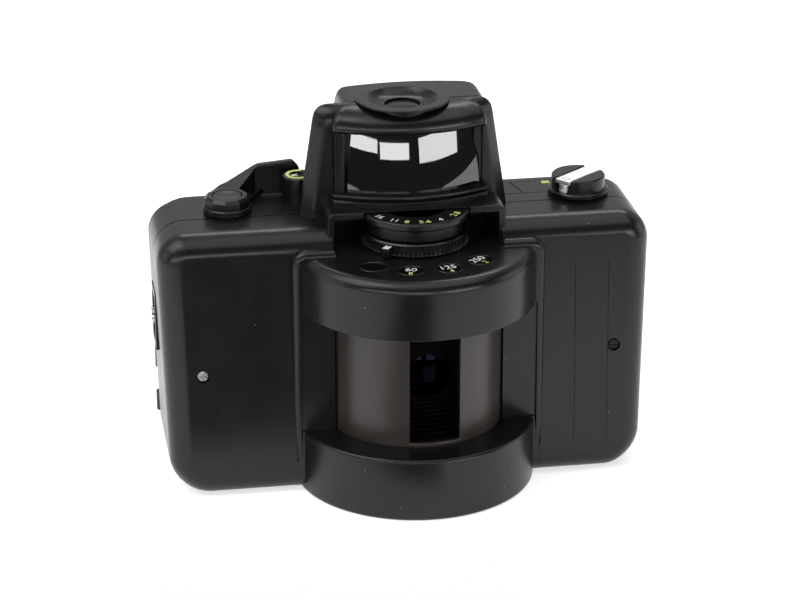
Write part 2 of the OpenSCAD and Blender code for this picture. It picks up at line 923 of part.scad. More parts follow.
module drum_gear() {
    color("#b58d3d")
    translate([0, 0, lower_top + 1])
        linear_extrude(drum_low - lower_top - 1)
            difference() {
                gear_plan(drum_teeth, drum_module, governor_angle);
                circle(r = pivot_r + seat);
            }
}

// Flat spiral spring over the drum, wound round its upper pivot
module drum_mainspring() {
    color("#7f8286")
    translate([0, 0, drum_high])
        linear_extrude(2.4)
            polygon(concat(
                [for (i = [0:80]) let (a = 18 * i, r = pivot_r + seat + 0.09 * i) [r * cos(a), r * sin(a)]],
                [for (i = [80:-1:0]) let (a = 18 * i, r = pivot_r + 0.6 + 0.09 * i) [r * cos(a), r * sin(a)]]
            ));
}

// Box that screens the drum's window from the lens barrel's sides
module window_hood() {
    half = window_w / 2;
    half_h = window_h / 2;
    color("#151516")
    in_drum()
        difference() {
            intersection() {
                bar(0, 0, drum_inner_r - seat, optics_low, optics_high);
                block([-half - hood_wall, -drum_r, axis_z - half_h - hood_wall],
                      [half + hood_wall, barrel_front, axis_z + half_h + hood_wall]);
            }
            block([-half, -far, axis_z - half_h], [half, barrel_front - hood_wall, axis_z + half_h]);
            translate([0, 0, axis_z]) slab(-far, 0) circle(r = barrel_r - barrel_wall - 2);
        }
}

module lens_barrel() {
    color("#101011")
    in_drum() translate([0, 0, axis_z]) {
        difference() {
            slab(barrel_front, barrel_back) circle(r = barrel_r);
            slab(barrel_front - 1, barrel_back + 1) circle(r = barrel_r - barrel_wall);
            block([-far, stop_y - gap, -stop_half_h - gap], [far, stop_y + stop_t + gap, stop_half_h + gap]);
        }
        for (side = [-1, 1])
            block([-3, -7, side > 0 ? barrel_r - 0.5 : optics_low - axis_z],
                  [3, 4, side > 0 ? optics_high - axis_z : -barrel_r + 0.5]);
    }
}

module lens_glass() {
    color("#7d90a8", 0.4)
    in_drum()
        translate([0, 0, axis_z])
            for (span = glass_spans)
                slab(span[0], span[1]) circle(r = barrel_r - barrel_wall - seat);
}

// Frame with two guide rails that carries the slit blades inside the drum
module slit_frame() {
    color("#2a2a2c")
    in_drum()
        difference() {
            block([-rail_half, blade_plane - 1.4, optics_low], [rail_half, blade_plane + 2.2, optics_high]);
            block([-far, blade_plane - gap, axis_z - blade_h / 2 - gap],
                  [far, blade_plane + blade_t + gap, axis_z + blade_h / 2 + gap]);
            block([-3, 0, axis_z - frame_h / 2], [3, far, axis_z + frame_h / 2]);
        }
}

module slit_blade(side) {
    color("#3b3c3e")
    in_drum()
        block([side > 0 ? blade_gap : -blade_gap - blade_w, blade_plane, axis_z - blade_h / 2],
              [side > 0 ? blade_gap + blade_w : -blade_gap, blade_plane + blade_t, axis_z + blade_h / 2]);
}

module slit_blade_left() {
    slit_blade(-1);
}

module slit_blade_right() {
    slit_blade(1);
}

// One of two plates with a notched edge that together make the lens stop
module stop_plate(side) {
    near = 0.4;
    reach = barrel_r + 0.9;
    color("#2c2d30")
    in_drum() translate([0, 0, axis_z])
        difference() {
            block([side > 0 ? near : -reach, stop_y, -stop_half_h],
                  [side > 0 ? reach : -near, stop_y + stop_t, stop_half_h]);
            rotate([0, 45, 0]) block([-stop_notch, -far, -stop_notch], [stop_notch, far, stop_notch]);
        }
}

module diaphragm_left() {
    stop_plate(-1);
}

module diaphragm_right() {
    stop_plate(1);
}

module governor_wheel() {
    color("#b58d3d")
    translate([governor_x, governor_y, 0]) {
        translate([0, 0, lower_top + 0.6])
            linear_extrude(drum_low - lower_top - 1)
                gear_plan(governor_teeth, drum_module, governor_angle + 180 + 180 / governor_teeth);
        bar(0, 0, governor_spindle_r, 4, drum_low - 0.8);
        bar(0, 0, 5.8, 4, lower_top - chassis_t - 0.6);
    }
}

module speed_ring() {
    color("#1f2022")
    difference() {
        union() {
            bar(0, 0, speed_tube_r, upper_low + chassis_t + 0.8, house_z + 1);
            bar(0, 0, speed_r, house_z + gap, house_z + speed_grip_t);
            rotate([0, 0, pointer_angle])
                block([-pointer_w / 2, -speed_r - pointer_reach, house_z + gap],
                      [pointer_w / 2, -speed_r + 2, house_z + 3]);
        }
        bar(0, 0, aperture_tube_r + run, 0, far);
    }
}

module aperture_ring() {
    color("#1f2022")
    difference() {
        union() {
            bar(0, 0, aperture_tube_r, upper_low + chassis_t + 1.4, house_z + 6);
            bar(0, 0, aperture_r - 1.4, house_z + speed_grip_t + gap, ceiling_low - 0.8);
            bar(0, 0, aperture_r, ceiling_low - 1, floor_z - 0.6);
        }
        bar(0, 0, aperture_bore_r, 0, ceiling_low);
    }
}

// Winding lever: a ring round its shaft, an arm and a tall thumb blade behind the deck
module advance_lever() {
    tip_y = thumb_back - film_y;
    tip_x = sqrt(lever_reach * lever_reach - tip_y * tip_y);
    color("#1a1a1c")
    translate([-take_x, film_y, 0]) {
        difference() {
            union() {
                bar(0, 0, lever_ring_r, lever_low, lever_low + lever_ring_t);
                translate([0, 0, lever_low])
                    linear_extrude(lever_ring_t)
                        polygon([
                            [1, lever_ring_r - 0.6], [lever_ring_r - 1.2, -1],
                            [tip_x - thumb_len + 6, tip_y - thumb_t], [tip_x - thumb_len, tip_y]
                        ]);
            }
            bar(0, 0, lever_shaft_r + seat, 0, far);
        }
        block([tip_x - thumb_len, tip_y - thumb_t, lever_low], [tip_x, tip_y, thumb_high]);
    }
}

module lever_hub() {
    color("#17171a")
    translate([-take_x, film_y, 0])
        difference() {
            translate([0, 0, hub_low]) cylinder(r = hub_r, h = hub_high - hub_low, $fn = 10);
            bar(0, 0, button_r + gap, button_floor, far);
            bar(0, 0, lever_shaft_r + seat, 0, far);
        }
}

module lever_shaft() {
    color("#a6a9ac")
    translate([-take_x, film_y, 0])
        difference() {
            bar(0, 0, lever_shaft_r, shaft_low, button_floor);
            bar(0, 0, spindle_r + run, 0, shaft_low + 3);
            bar(0, 0, button_stem_r + run, shaft_low + 4, far);
        }
}

module lever_spring() {
    color("#9a9da0")
    difference() {
        bar(-take_x, film_y, lever_shaft_r + 1.1, top_bush_low - 4.4, top_bush_low);
        bar(-take_x, film_y, lever_shaft_r + gap, 0, far);
    }
}

module button_spring() {
    color("#9a9da0")
    difference() {
        bar(-take_x, film_y, button_stem_r - 0.1, shaft_low + 4, shaft_low + 8);
        bar(-take_x, film_y, 0.7, 0, far);
    }
}

module shutter_button() {
    low = button_floor + button_travel + 0.1;
    color("#1b1b1d")
    difference() {
        union() {
            bar(-take_x, film_y, button_r, low, low + button_t);
            bar(-take_x, film_y, button_stem_r, shaft_low + 8, low + 0.2);
        }
        translate([-take_x, film_y, low + button_t + 11.6]) sphere(r = 12);
    }
}

module take_up_spool() {
    color("#2b2c2f")
    difference() {
        union() {
            bar(-take_x, film_y, spool_r, spool_low, spool_high);
            for (low = [spool_low, spool_high - spool_flange_t])
                bar(-take_x, film_y, spool_flange_r, low, low + spool_flange_t);
            bar(-take_x, film_y, spindle_r, wall + 1, shaft_low + 2.6);
            translate([-take_x, film_y, film_gear_low])
                linear_extrude(film_gear_t) gear_plan(spool_teeth, film_module, sprocket_angle);
            bar(-take_x, film_y, spool_r - 1, boss_top + gap, film_gear_low + 0.2);
        }
        block([-take_x - 0.6, film_y - far, axis_z - 14], [-take_x + 0.6, film_y, axis_z + 14]);
    }
}

module sprocket_roller() {
    color("#85888b") {
        bar(sprocket_x, sprocket_y, sprocket_r, spool_low + 0.4, spool_high - 0.4);
        bar(sprocket_x, sprocket_y, spindle_r, wall + 1, house_z - wall - 1);
        bar(sprocket_x, sprocket_y, spindle_r + 1, boss_top + gap, spool_low + 0.6);
        bar(sprocket_x, sprocket_y, spindle_r + 1, spool_high - 0.6, film_gear_low + 0.2);
        for (low = [film_low + 2, film_high - 3.4])
            translate([sprocket_x, sprocket_y, low])
                linear_extrude(1.4) gear_plan(sprocket_teeth, 2 * sprocket_r / sprocket_teeth, 10);
        translate([sprocket_x, sprocket_y, film_gear_low])
            linear_extrude(film_gear_t)
                gear_plan(sprocket_gear_teeth, film_module, sprocket_angle + 180 + 180 / sprocket_gear_teeth);
    }
}

module rewind_sleeve() {
    color("#a6a9ac")
    difference() {
        bar(rewind_x, film_y, sleeve_r, sleeve_low, knob_low - 0.2);
        bar(rewind_x, film_y, rewind_shaft_r + run, 0, far);
    }
}

// Places a crank piece over the knob, with +X along the folded crank
module on_knob() {
    translate([rewind_x, film_y, 0]) rotate([0, 0, 180 + crank_turn]) children();
}

module rewind_knob() {
    color("#1b1b1d")
    difference() {
        union() {
            bar(rewind_x, film_y, flange_r, knob_low, knob_low + flange_t);
            bar(rewind_x, film_y, knob_r, knob_low + flange_t - 0.1, knob_high);
        }
        bar(rewind_x, film_y, rewind_shaft_r + seat, 0, knob_high - 2.2);
        on_knob() {
            block([-far, -crank_w / 2 - gap, knob_high - 1.5], [far, crank_w / 2 + gap, far]);
            block([-far, -crank_w / 2 - gap, crank_z - crank_tail - 0.4],
                  [-crank_pivot + crank_tail, crank_w / 2 + gap, far]);
            block([knob_r - 4.6, -grip_r - gap, knob_low + flange_t], [far, grip_r + gap, far]);
            translate([-crank_pivot, far / 2, crank_z])
                rotate([90, 0, 0]) cylinder(r = crank_pin_r + run, h = far);
        }
    }
}

module rewind_fork() {
    color("#a6a9ac")
    difference() {
        union() {
            bar(rewind_x, film_y, rewind_shaft_r, sleeve_low - 1, knob_high - 2.3);
            bar(rewind_x, film_y, sleeve_r - 0.2, fork_low, sleeve_low - gap);
        }
        block([rewind_x - 0.8, film_y - far, fork_low - 1], [rewind_x + 0.8, film_y + far, fork_low + 5]);
    }
}

// Folding crank strip with its pivot pin at one end and the grip's stud at the other
module rewind_crank() {
    color("#d9d9d6")
    on_knob() {
        block([-crank_pivot - crank_tail, -crank_w / 2, crank_z - crank_t / 2],
              [-crank_pivot + crank_len, crank_w / 2, crank_z + crank_t / 2]);
        translate([-crank_pivot, crank_w / 2 + 1.6, crank_z])
            rotate([90, 0, 0]) cylinder(r = crank_pin_r, h = crank_w + 3.2);
        bar(stud_x, 0, stud_r, crank_z - crank_t / 2 - grip_h, crank_z);
    }
}

module crank_grip() {
    color("#c8cacd")
    on_knob()
        difference() {
            bar(stud_x, 0, grip_r, crank_z - crank_t / 2 - grip_h + 0.1, crank_z - crank_t / 2 - 0.1);
            bar(stud_x, 0, stud_r + run, 0, far);
        }
}

module guide_roller(side) {
    color("#8c8f92") {
        bar(side * roller_x, roller_y, roller_r, lower_top + gap, film_gear_low - 2 * gap);
        bar(side * roller_x, roller_y, roller_pin_r,
            lower_top - chassis_t + lap, upper_low + chassis_t - lap);
    }
}

module guide_roller_left() {
    guide_roller(-1);
}

module guide_roller_right() {
    guide_roller(1);
}

module back_door() {
    low_y = door_y + door_gap;
    color("#26272a")
    difference() {
        union() {
            difference() {
                hull() {
                    slab(low_y, back_y - 2.5) wing_outline(0);
                    slab(back_y - 0.2, back_y) wing_outline(2.2);
                }
                slab(low_y - 1, back_y - 2) wing_outline(wall);
                block([-far, 0, -far], [hinge_x, far, far]);
            }
            bar(hinge_x, hinge_y, knuckle_r, hinge_low, hinge_high);
            block([latch_x - 5, low_y + 0.2, latch_low + 2],
                  [right_end - 0.5, low_y + 1.6, latch_low + 2 + keeper_h]);
        }
        for (span = lug_spans)
            bar(hinge_x, hinge_y, knuckle_r + 0.55, span[0] - gap, span[1] + gap);
        bar(hinge_x, hinge_y, hinge_pin_r + run, 0, far);
    }
}

module pressure_plate() {
    r = gate_r + gate_t + 1;
    color("#3a3b3d") {
        arc_ring(r, r + 1.2, film_low, film_high, 58, 122);
        for (x = [-9, 9])
            difference() {
                block([x - 2, r * 0.9, axis_z - 4], [x + 2, back_y - 2, axis_z + 4]);
                bar(0, 0, r + 1.19, 0, far);
            }
    }
}

// Sliding latch in the right end of the rear shell, with a hook over the door's keeper
module door_latch() {
    hook_low = latch_low + 2 + keeper_h + gap;
    color("#1b1b1d") {
        block([latch_x - latch_t, strap_y - 3.6, latch_low], [latch_x, door_y - 0.5, latch_low + latch_h]);
        block([latch_x - lap, strap_y - 2, latch_low + 3],
              [right_end - gap, strap_y + 2, latch_low + latch_h - 3]);
        block([latch_x - latch_t, door_y - 1, hook_low], [latch_x, door_y + 3.4, hook_low + hook_h]);
    }
}

module rewind_button() {
    color("#8d8f92") {
        bar(release_spot[0], release_spot[1], release_r, 0.4, wall + 1);
        bar(release_spot[0], release_spot[1], release_r + 0.8, wall + 0.1, wall + 1.2);
        bar(release_spot[0], release_spot[1], 1.2, wall + 1, 5);
    }
}

front_shell();
rear_shell();
base_plate();
tripod_bush();
base_screws();
front_screws();
strap_lugs();
lower_chassis();
upper_chassis();
drum_bushes();
film_gate();
finder_window();
finder_lenses();
finder_tunnel();
eyepiece_ring();
level_bezel();
level_vial();
speed_marks();
counter_turret();
counter_window();
top_bushes();
door_hinge_pin();
light_seals();
release_spring();
lens_drum();
drum_pivots();
drum_gear();
drum_mainspring();
window_hood();
lens_barrel();
lens_glass();
slit_frame();
slit_blade_left();
slit_blade_right();
diaphragm_left();
diaphragm_right();
governor_wheel();
speed_ring();
aperture_ring();
advance_lever();
lever_hub();
lever_shaft();
lever_spring();
button_spring();
shutter_button();
take_up_spool();
sprocket_roller();
counter_dial();
rewind_sleeve();
rewind_knob();
rewind_fork();
rewind_crank();
crank_grip();
guide_roller_left();
guide_roller_right();
back_door();
pressure_plate();
door_latch();
rewind_button();
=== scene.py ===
# Swing-lens panoramic camera in black moulded plastic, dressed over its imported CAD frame.
# Sizes are written in millimetres and scaled to metres as each mesh is made.
import json
import math

import bpy
from mathutils import Matrix, Vector


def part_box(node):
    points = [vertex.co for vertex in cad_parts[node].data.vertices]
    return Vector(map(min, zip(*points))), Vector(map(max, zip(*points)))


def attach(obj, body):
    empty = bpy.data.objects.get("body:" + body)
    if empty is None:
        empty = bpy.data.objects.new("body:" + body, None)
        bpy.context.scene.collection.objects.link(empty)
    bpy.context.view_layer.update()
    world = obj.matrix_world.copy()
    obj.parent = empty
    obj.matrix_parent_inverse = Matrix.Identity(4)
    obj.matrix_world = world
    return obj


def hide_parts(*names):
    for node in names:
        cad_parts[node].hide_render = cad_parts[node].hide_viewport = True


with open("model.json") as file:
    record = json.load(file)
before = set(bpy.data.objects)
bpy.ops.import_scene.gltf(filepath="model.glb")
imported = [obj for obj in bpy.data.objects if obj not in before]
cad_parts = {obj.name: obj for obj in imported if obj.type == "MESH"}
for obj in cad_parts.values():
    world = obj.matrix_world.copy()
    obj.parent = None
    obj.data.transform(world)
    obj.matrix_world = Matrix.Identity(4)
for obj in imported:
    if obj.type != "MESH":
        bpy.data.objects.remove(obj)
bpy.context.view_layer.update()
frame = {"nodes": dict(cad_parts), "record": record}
MM = 0.001
scene = bpy.context.scene
scene.view_settings.view_transform = "Standard"

# Viewpoint of the photograph: a long lens from a little to the camera's left and above it,
# solved from the body's own edges.
EYE = (-129.354, -755.614, 361.156)
YAW = 0.164
PITCH = 0.380
LENS = 126.095
SENSOR = 36
sight = Vector((math.sin(YAW) * math.cos(PITCH), math.cos(YAW) * math.cos(PITCH), -math.sin(PITCH)))
eye = bpy.data.cameras.new("viewpoint")
eye.lens = LENS
eye.sensor_width = SENSOR
eye.sensor_fit = "HORIZONTAL"
eye.clip_start = 0.01
viewpoint = bpy.data.objects.new("viewpoint", eye)
viewpoint.location = Vector(EYE) * MM
viewpoint.rotation_euler = sight.to_track_quat("-Z", "Y").to_euler()
scene.collection.objects.link(viewpoint)
scene.camera = viewpoint


# Studio: white paper under soft lamps, with a white backdrop and a dark gap left in the paper in front,
# which the left wing mirrors. The paper keeps the camera's shadow and reads as white.
def linear(code):
    """Turns an sRGB hex code into the linear colour that a shader takes."""
    parts = [int(code[i:i + 2], 16) / 255 for i in (1, 3, 5)]
    return [p / 12.92 if p <= 0.04045 else ((p + 0.055) / 1.055) ** 2.4 for p in parts] + [1.0]


def add_node(tree, kind, links=(), **settings):
    """Adds one node with its settings, plain socket values and links, and returns it."""
    node = tree.nodes.new(kind)
    for name, value in settings.items():
        setattr(node, name, value)
    for socket, value in links:
        target = node.inputs[socket]
        if isinstance(value, bpy.types.NodeSocket):
            tree.links.new(value, target)
        else:
            target.default_value = value
    return node


def only(obj):
    """Leaves one object selected and active."""
    bpy.ops.object.select_all(action="DESELECT")
    obj.select_set(True)
    bpy.context.view_layer.objects.active = obj


def fresh(name, points, edges=(), faces=()):
    """Makes a mesh piece from points in millimetres and leaves it selected."""
    mesh = bpy.data.meshes.new(name)
    mesh.from_pydata([Vector(p) * MM for p in points], edges, faces)
    obj = bpy.data.objects.new(name, mesh)
    scene.collection.objects.link(obj)
    only(obj)
    return obj


PAPER = "#f4f4f2"
WHITE = linear("#ffffff")
# What the paper adds of its own to what is seen or mirrored, so that it reads as white.
PAPER_GLOW = 0.6
# Plain light of the room, and the backdrop's share of white as polish mirrors it.
AIR = 0.07
BACKDROP_IN_POLISH = 0.5
BACKDROP_FROM, BACKDROP_TO = 0.05, 0.35
PAPER_CORNERS = ((-1000, 1000), (-1000, -290), (-86, -290), (-82, -62), (12, -62), (26, -290), (1000, -290),
                 (1000, 1000))
paper = fresh("paper_sheet", [(x, y, 0) for x, y in PAPER_CORNERS], (), [tuple(range(len(PAPER_CORNERS)))])
paper_finish = bpy.data.materials.new("matt_white_paper")
paper_finish.use_nodes = True
tree = paper_finish.node_tree
tree.nodes.clear()
rays = add_node(tree, "ShaderNodeLightPath")
seen = add_node(tree, "ShaderNodeMath", [(0, rays.outputs["Is Camera Ray"]),
                                         (1, rays.outputs["Is Glossy Ray"])],
                operation="ADD", use_clamp=True)
seen = add_node(tree, "ShaderNodeMath", [(0, seen.outputs[0]), (1, rays.outputs["Is Transmission Ray"])],
                operation="ADD", use_clamp=True)
lift = add_node(tree, "ShaderNodeMath", [(0, seen.outputs[0]), (1, PAPER_GLOW)], operation="MULTIPLY")
matt = add_node(tree, "ShaderNodeBsdfDiffuse", [("Color", linear(PAPER))])
glow = add_node(tree, "ShaderNodeEmission", [("Color", WHITE), ("Strength", lift.outputs[0])])
both = add_node(tree, "ShaderNodeAddShader", [(0, matt.outputs[0]), (1, glow.outputs[0])])
add_node(tree, "ShaderNodeOutputMaterial", [("Surface", both.outputs[0])])
paper.data.materials.append(paper_finish)

air = bpy.data.worlds.new("studio_air")
air.use_nodes = True
tree = air.node_tree
tree.nodes.clear()
rays = add_node(tree, "ShaderNodeLightPath")
seen = add_node(tree, "ShaderNodeMath", [(0, rays.outputs["Is Camera Ray"]),
                                         (1, rays.outputs["Is Transmission Ray"])],
                operation="ADD", use_clamp=True)
ways = add_node(tree, "ShaderNodeTexCoord").outputs["Generated"]
ways = add_node(tree, "ShaderNodeSeparateXYZ", [("Vector", ways)])
behind = add_node(tree, "ShaderNodeMapRange", [("Value", ways.outputs["Y"]), ("From Min", BACKDROP_FROM),
                                               ("From Max", BACKDROP_TO)])
polish = add_node(tree, "ShaderNodeMath", [(0, behind.outputs[0]), (1, rays.outputs["Is Glossy Ray"])],
                  operation="MULTIPLY")
polish = add_node(tree, "ShaderNodeMath", [(0, polish.outputs[0]), (1, BACKDROP_IN_POLISH)],
                  operation="MULTIPLY")
seen = add_node(tree, "ShaderNodeMath", [(0, seen.outputs[0]), (1, polish.outputs[0])], operation="ADD",
                use_clamp=True)
level = add_node(tree, "ShaderNodeMapRange", [("Value", seen.outputs[0]), ("To Min", AIR), ("To Max", 1.0)])
glow = add_node(tree, "ShaderNodeBackground", [("Color", WHITE), ("Strength", level.outputs[0])])
add_node(tree, "ShaderNodeOutputWorld", [("Surface", glow.outputs[0])])
scene.world = air
BODY_MIDDLE = (0, 0, 0.05)
GLASS_MIDDLE = (0, 0, 0.1)
WINDOW_FAR = 1.2


def soft_lamp(name, place, aim, size, watts):
    """Hangs a rectangular soft lamp at a place in metres, facing the point it is aimed at."""
    data = bpy.data.lights.new(name, "AREA")
    data.shape = "RECTANGLE"
    data.size, data.size_y = size
    data.energy = watts
    lamp = bpy.data.objects.new(name, data)
    lamp.location = place
    lamp.rotation_euler = (Vector(aim) - Vector(place)).to_track_quat("-Z", "Y").to_euler()
    scene.collection.objects.link(lamp)


def window_lamp(name, turn, rise, size, watts):
    """A lamp out in front, by its turn and rise from the finder glass, which mirrors it as a window."""
    level = WINDOW_FAR * math.cos(math.radians(rise))
    place = (level * math.sin(math.radians(turn)), -level * math.cos(math.radians(turn)),
             GLASS_MIDDLE[2] + WINDOW_FAR * math.sin(math.radians(rise)))
    soft_lamp(name, place, GLASS_MIDDLE, size, watts)


soft_lamp("upper_left_lamp", (-0.75, -0.1, 1.05), BODY_MIDDLE, (0.9, 0.9), 8)
soft_lamp("overhead_lamp", (0.1, -0.25, 1.2), BODY_MIDDLE, (1.6, 1.0), 7)
soft_lamp("rear_top_lamp", (0.2, 0.78, 1.0), BODY_MIDDLE, (0.9, 0.15), 3)
soft_lamp("left_lamp", (-1.1, 0, 0.3), BODY_MIDDLE, (0.6, 0.5), 1.2)
soft_lamp("right_lamp", (1.1, 0, 0.3), BODY_MIDDLE, (0.6, 0.5), 1.4)
window_lamp("left_window", -38, 7.5, (0.80, 0.14), 2.6)
window_lamp("middle_window", -5, 5.5, (0.52, 0.17), 2.1)
window_lamp("right_window", 33, 5.1, (0.74, 0.26), 4.1)


# Front moulding: both leaning wings and the round drum housing, one shell of black ABS.
# It was injection moulded with a satin spark-eroded skin and screws onto the rear moulding.
def outward(obj):
    """Merges doubles, closes open ends and points every face outwards."""
    only(obj)
    bpy.ops.object.mode_set(mode="EDIT")
    bpy.ops.mesh.select_all(action="SELECT")
    bpy.ops.mesh.remove_doubles(threshold=1e-6)
    bpy.ops.mesh.fill_holes(sides=0)
    bpy.ops.mesh.normals_make_consistent(inside=False)
    bpy.ops.object.mode_set(mode="OBJECT")
    return obj


def pick(obj, test):
    """Goes into edit mode with the edges selected whose two ends, in millimetres, pass a test."""
    only(obj)
    bpy.ops.object.mode_set(mode="EDIT")
    bpy.ops.mesh.select_all(action="DESELECT")
    bpy.ops.mesh.select_mode(type="EDGE")
    bpy.ops.object.mode_set(mode="OBJECT")
    points = [v.co / MM for v in obj.data.vertices]
    for edge in obj.data.edges:
        edge.select = test(points[edge.vertices[0]], points[edge.vertices[1]])
    bpy.ops.object.mode_set(mode="EDIT")


def rounded(obj, test, radius, segments=6):
    """Rounds the edges that pass a test."""
    pick(obj, test)
    bpy.ops.mesh.bevel(offset=radius * MM, segments=segments, affect="EDGES", profile=0.5)
    bpy.ops.object.mode_set(mode="OBJECT")
    return obj


def block(name, low, high, radius=0, segments=3):
    """Adds a cube at its size and place, with all its edges rounded."""
    size = [b - a for a, b in zip(low, high)]
    middle = [(a + b) / 2 for a, b in zip(low, high)]
    bpy.ops.object.select_all(action="DESELECT")
    bpy.ops.mesh.primitive_cube_add(size=MM, location=Vector(middle) * MM, scale=size)
    obj = bpy.context.object
    obj.name = name
    bpy.ops.object.transform_apply(location=True, rotation=True, scale=True)
    if radius:
        rounded(obj, lambda a, b: True, radius, segments)
    return obj


def turned(name, section, centre=(0, 0), start=0, sweep=360, steps=96):
    """Spins a closed section of radius and height about an upright axis."""
    turn = Matrix.Rotation(math.radians(start), 3, "Z")
    axis = Vector((centre[0], centre[1], 0))
    points = [turn @ Vector((r, 0, z)) + axis for r, z in section]
    count = len(points)
    if sweep == 360:
        obj = fresh(name, points, [(i, (i + 1) % count) for i in range(count)])
    else:
        obj = fresh(name, points, (), [tuple(range(count))])
    bpy.ops.object.mode_set(mode="EDIT")
    bpy.ops.mesh.select_all(action="SELECT")
    bpy.ops.mesh.spin(steps=steps, angle=-math.radians(sweep), center=axis * MM, axis=(0, 0, 1))
    bpy.ops.object.mode_set(mode="OBJECT")
    return outward(obj)


def stacked(name, rings):
    """Skins a stack of closed outlines that have the same number of points, and caps both ends."""
    count = len(rings[0])
    faces = []
    for level in range(len(rings) - 1):
        for i in range(count):
            a = level * count + i
            b = level * count + (i + 1) % count
            faces.append((a, b, b + count, a + count))
    faces.append(tuple(range(count)))
    faces.append(tuple(range((len(rings) - 1) * count, len(rings) * count)))
    return outward(fresh(name, [p for ring in rings for p in ring], (), faces))


def rod(name, centre, radius, low, high, axis="Z", sides=48):
    """A round bar for cutting or joining, along one axis between two heights."""
    turn = {"Z": (0, 0, 0), "Y": (math.pi / 2, 0, 0), "X": (0, math.pi / 2, 0)}[axis]
    middle = (low + high) / 2
    place = {"Z": (*centre, middle), "Y": (centre[0], middle, centre[1]), "X": (middle, *centre)}[axis]
    bpy.ops.object.select_all(action="DESELECT")
    bpy.ops.mesh.primitive_cylinder_add(vertices=sides, radius=radius * MM, depth=(high - low) * MM,
                                        location=Vector(place) * MM, rotation=turn)
    obj = bpy.context.object
    obj.name = name
    bpy.ops.object.transform_apply(location=True, rotation=True, scale=True)
    return obj


def joined(obj, others, operation):
    """Cuts other pieces from one piece, or welds them onto it, and removes them."""
    for other in others:
        only(obj)
        change = obj.modifiers.new("change", "BOOLEAN")
        change.operation = operation
        change.solver = "EXACT"
        change.object = other
        bpy.ops.object.modifier_apply(modifier="change")
        bpy.data.objects.remove(other)
    return obj


def cut(obj, *others):
    """Cuts other pieces out of one piece."""
    return joined(obj, others, "DIFFERENCE")


def weld(obj, *others):
    """Welds other pieces onto one piece."""
    return joined(obj, others, "UNION")


def eased(obj, width, segments=2, angle=35):
    """Takes the sharpness off every hard edge."""
    only(obj)
    ease = obj.modifiers.new("ease", "BEVEL")
    ease.width = width * MM
    ease.segments = segments
    ease.limit_method = "ANGLE"
    ease.angle_limit = math.radians(angle)
    ease.use_clamp_overlap = True
    bpy.ops.object.modifier_apply(modifier="ease")
    return obj


def smoothed(obj, angle=35):
    """Shades round faces smooth and keeps wide flat faces flat."""
    only(obj)
    bpy.ops.object.shade_smooth_by_angle(angle=math.radians(angle))
    even = obj.modifiers.new("even", "WEIGHTED_NORMAL")
    even.keep_sharp = True
    bpy.ops.object.modifier_apply(modifier="even")
    return obj


def fitted(obj, finish, body, slot, *nodes):
    """Gives a piece its finish, its body and the CAD nodes that it stands for, which it hides. The slot is not
    used.
    """
    obj.data.materials.clear()
    obj.data.materials.append(finish)
    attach(obj, body)
    if nodes:
        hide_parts(*nodes)
    return obj


def bare_finish(name):
    """Starts a finish, and gives it with its node tree, its skin's sockets and the place on the piece."""
    finish = bpy.data.materials.new(name)
    finish.use_nodes = True
    tree = finish.node_tree
    place = add_node(tree, "ShaderNodeTexCoord").outputs["Object"]
    return finish, tree, tree.nodes["Principled BSDF"].inputs, place


CLOUD_MM = 18
CLOUD_LIFT = 1.45
SPECK_MM = 3.2
SPECK_SHARE = 0.045
SPECK = "#8f8f8a"


def moulded(name, colour, rough, ior=1.5, dust=0.6, grain_mm=0.45, grain=0.10):
    """Satin moulded ABS: fine eroded grain, cloudy handling marks and a few pale dust specks.
    The grain is drawn at about half a millimetre, coarser than the real one, so that it shows."""
    finish, tree, skin, place = bare_finish(name)
    cloud = add_node(tree, "ShaderNodeTexNoise", [("Vector", place), ("Scale", 1 / (CLOUD_MM * MM)),
                                                  ("Detail", 4.0)])
    tone = add_node(tree, "ShaderNodeMix", [("Factor", cloud.outputs[0]), ("A", linear(colour)),
                                            ("B", [CLOUD_LIFT * c for c in linear(colour)[:3]] + [1])],
                    data_type="RGBA")
    cells = add_node(tree, "ShaderNodeTexVoronoi", [("Vector", place), ("Scale", 1 / (SPECK_MM * MM))])
    speck = add_node(tree, "ShaderNodeMath", [(0, cells.outputs["Distance"]), (1, SPECK_SHARE)],
                     operation="LESS_THAN")
    sparse = add_node(tree, "ShaderNodeSeparateColor", [("Color", cells.outputs["Color"])])
    some = add_node(tree, "ShaderNodeMath", [(0, sparse.outputs[0]), (1, 1 - 0.35 * dust)],
                    operation="GREATER_THAN")
    mark = add_node(tree, "ShaderNodeMath", [(0, speck.outputs[0]), (1, some.outputs[0])],
                    operation="MULTIPLY")
    dusty = add_node(tree, "ShaderNodeMix", [("Factor", mark.outputs[0]), ("A", tone.outputs["Result"]),
                                             ("B", linear(SPECK))], data_type="RGBA")
    tree.links.new(dusty.outputs["Result"], skin["Base Color"])
    polish = add_node(tree, "ShaderNodeMapRange", [("Value", cloud.outputs[0]), ("To Min", rough - 0.06),
                                                   ("To Max", rough + 0.08)])
    tree.links.new(polish.outputs[0], skin["Roughness"])
    pits = add_node(tree, "ShaderNodeTexNoise", [("Vector", place), ("Scale", 1 / (grain_mm * MM)),
                                                 ("Detail", 2.0)])
    bump = add_node(tree, "ShaderNodeBump", [("Height", pits.outputs[0]), ("Strength", grain),
                                             ("Distance", 0.05 * MM)])
    tree.links.new(bump.outputs[0], skin["Normal"])
    skin["IOR"].default_value = ior
    return finish


# Black ABS off a spark-eroded mould: a deep black with soft, wide highlights.
ABS_BLACK = moulded("moulded_black_abs", "#0e0e0e", 0.27, 1.40, 0.35)

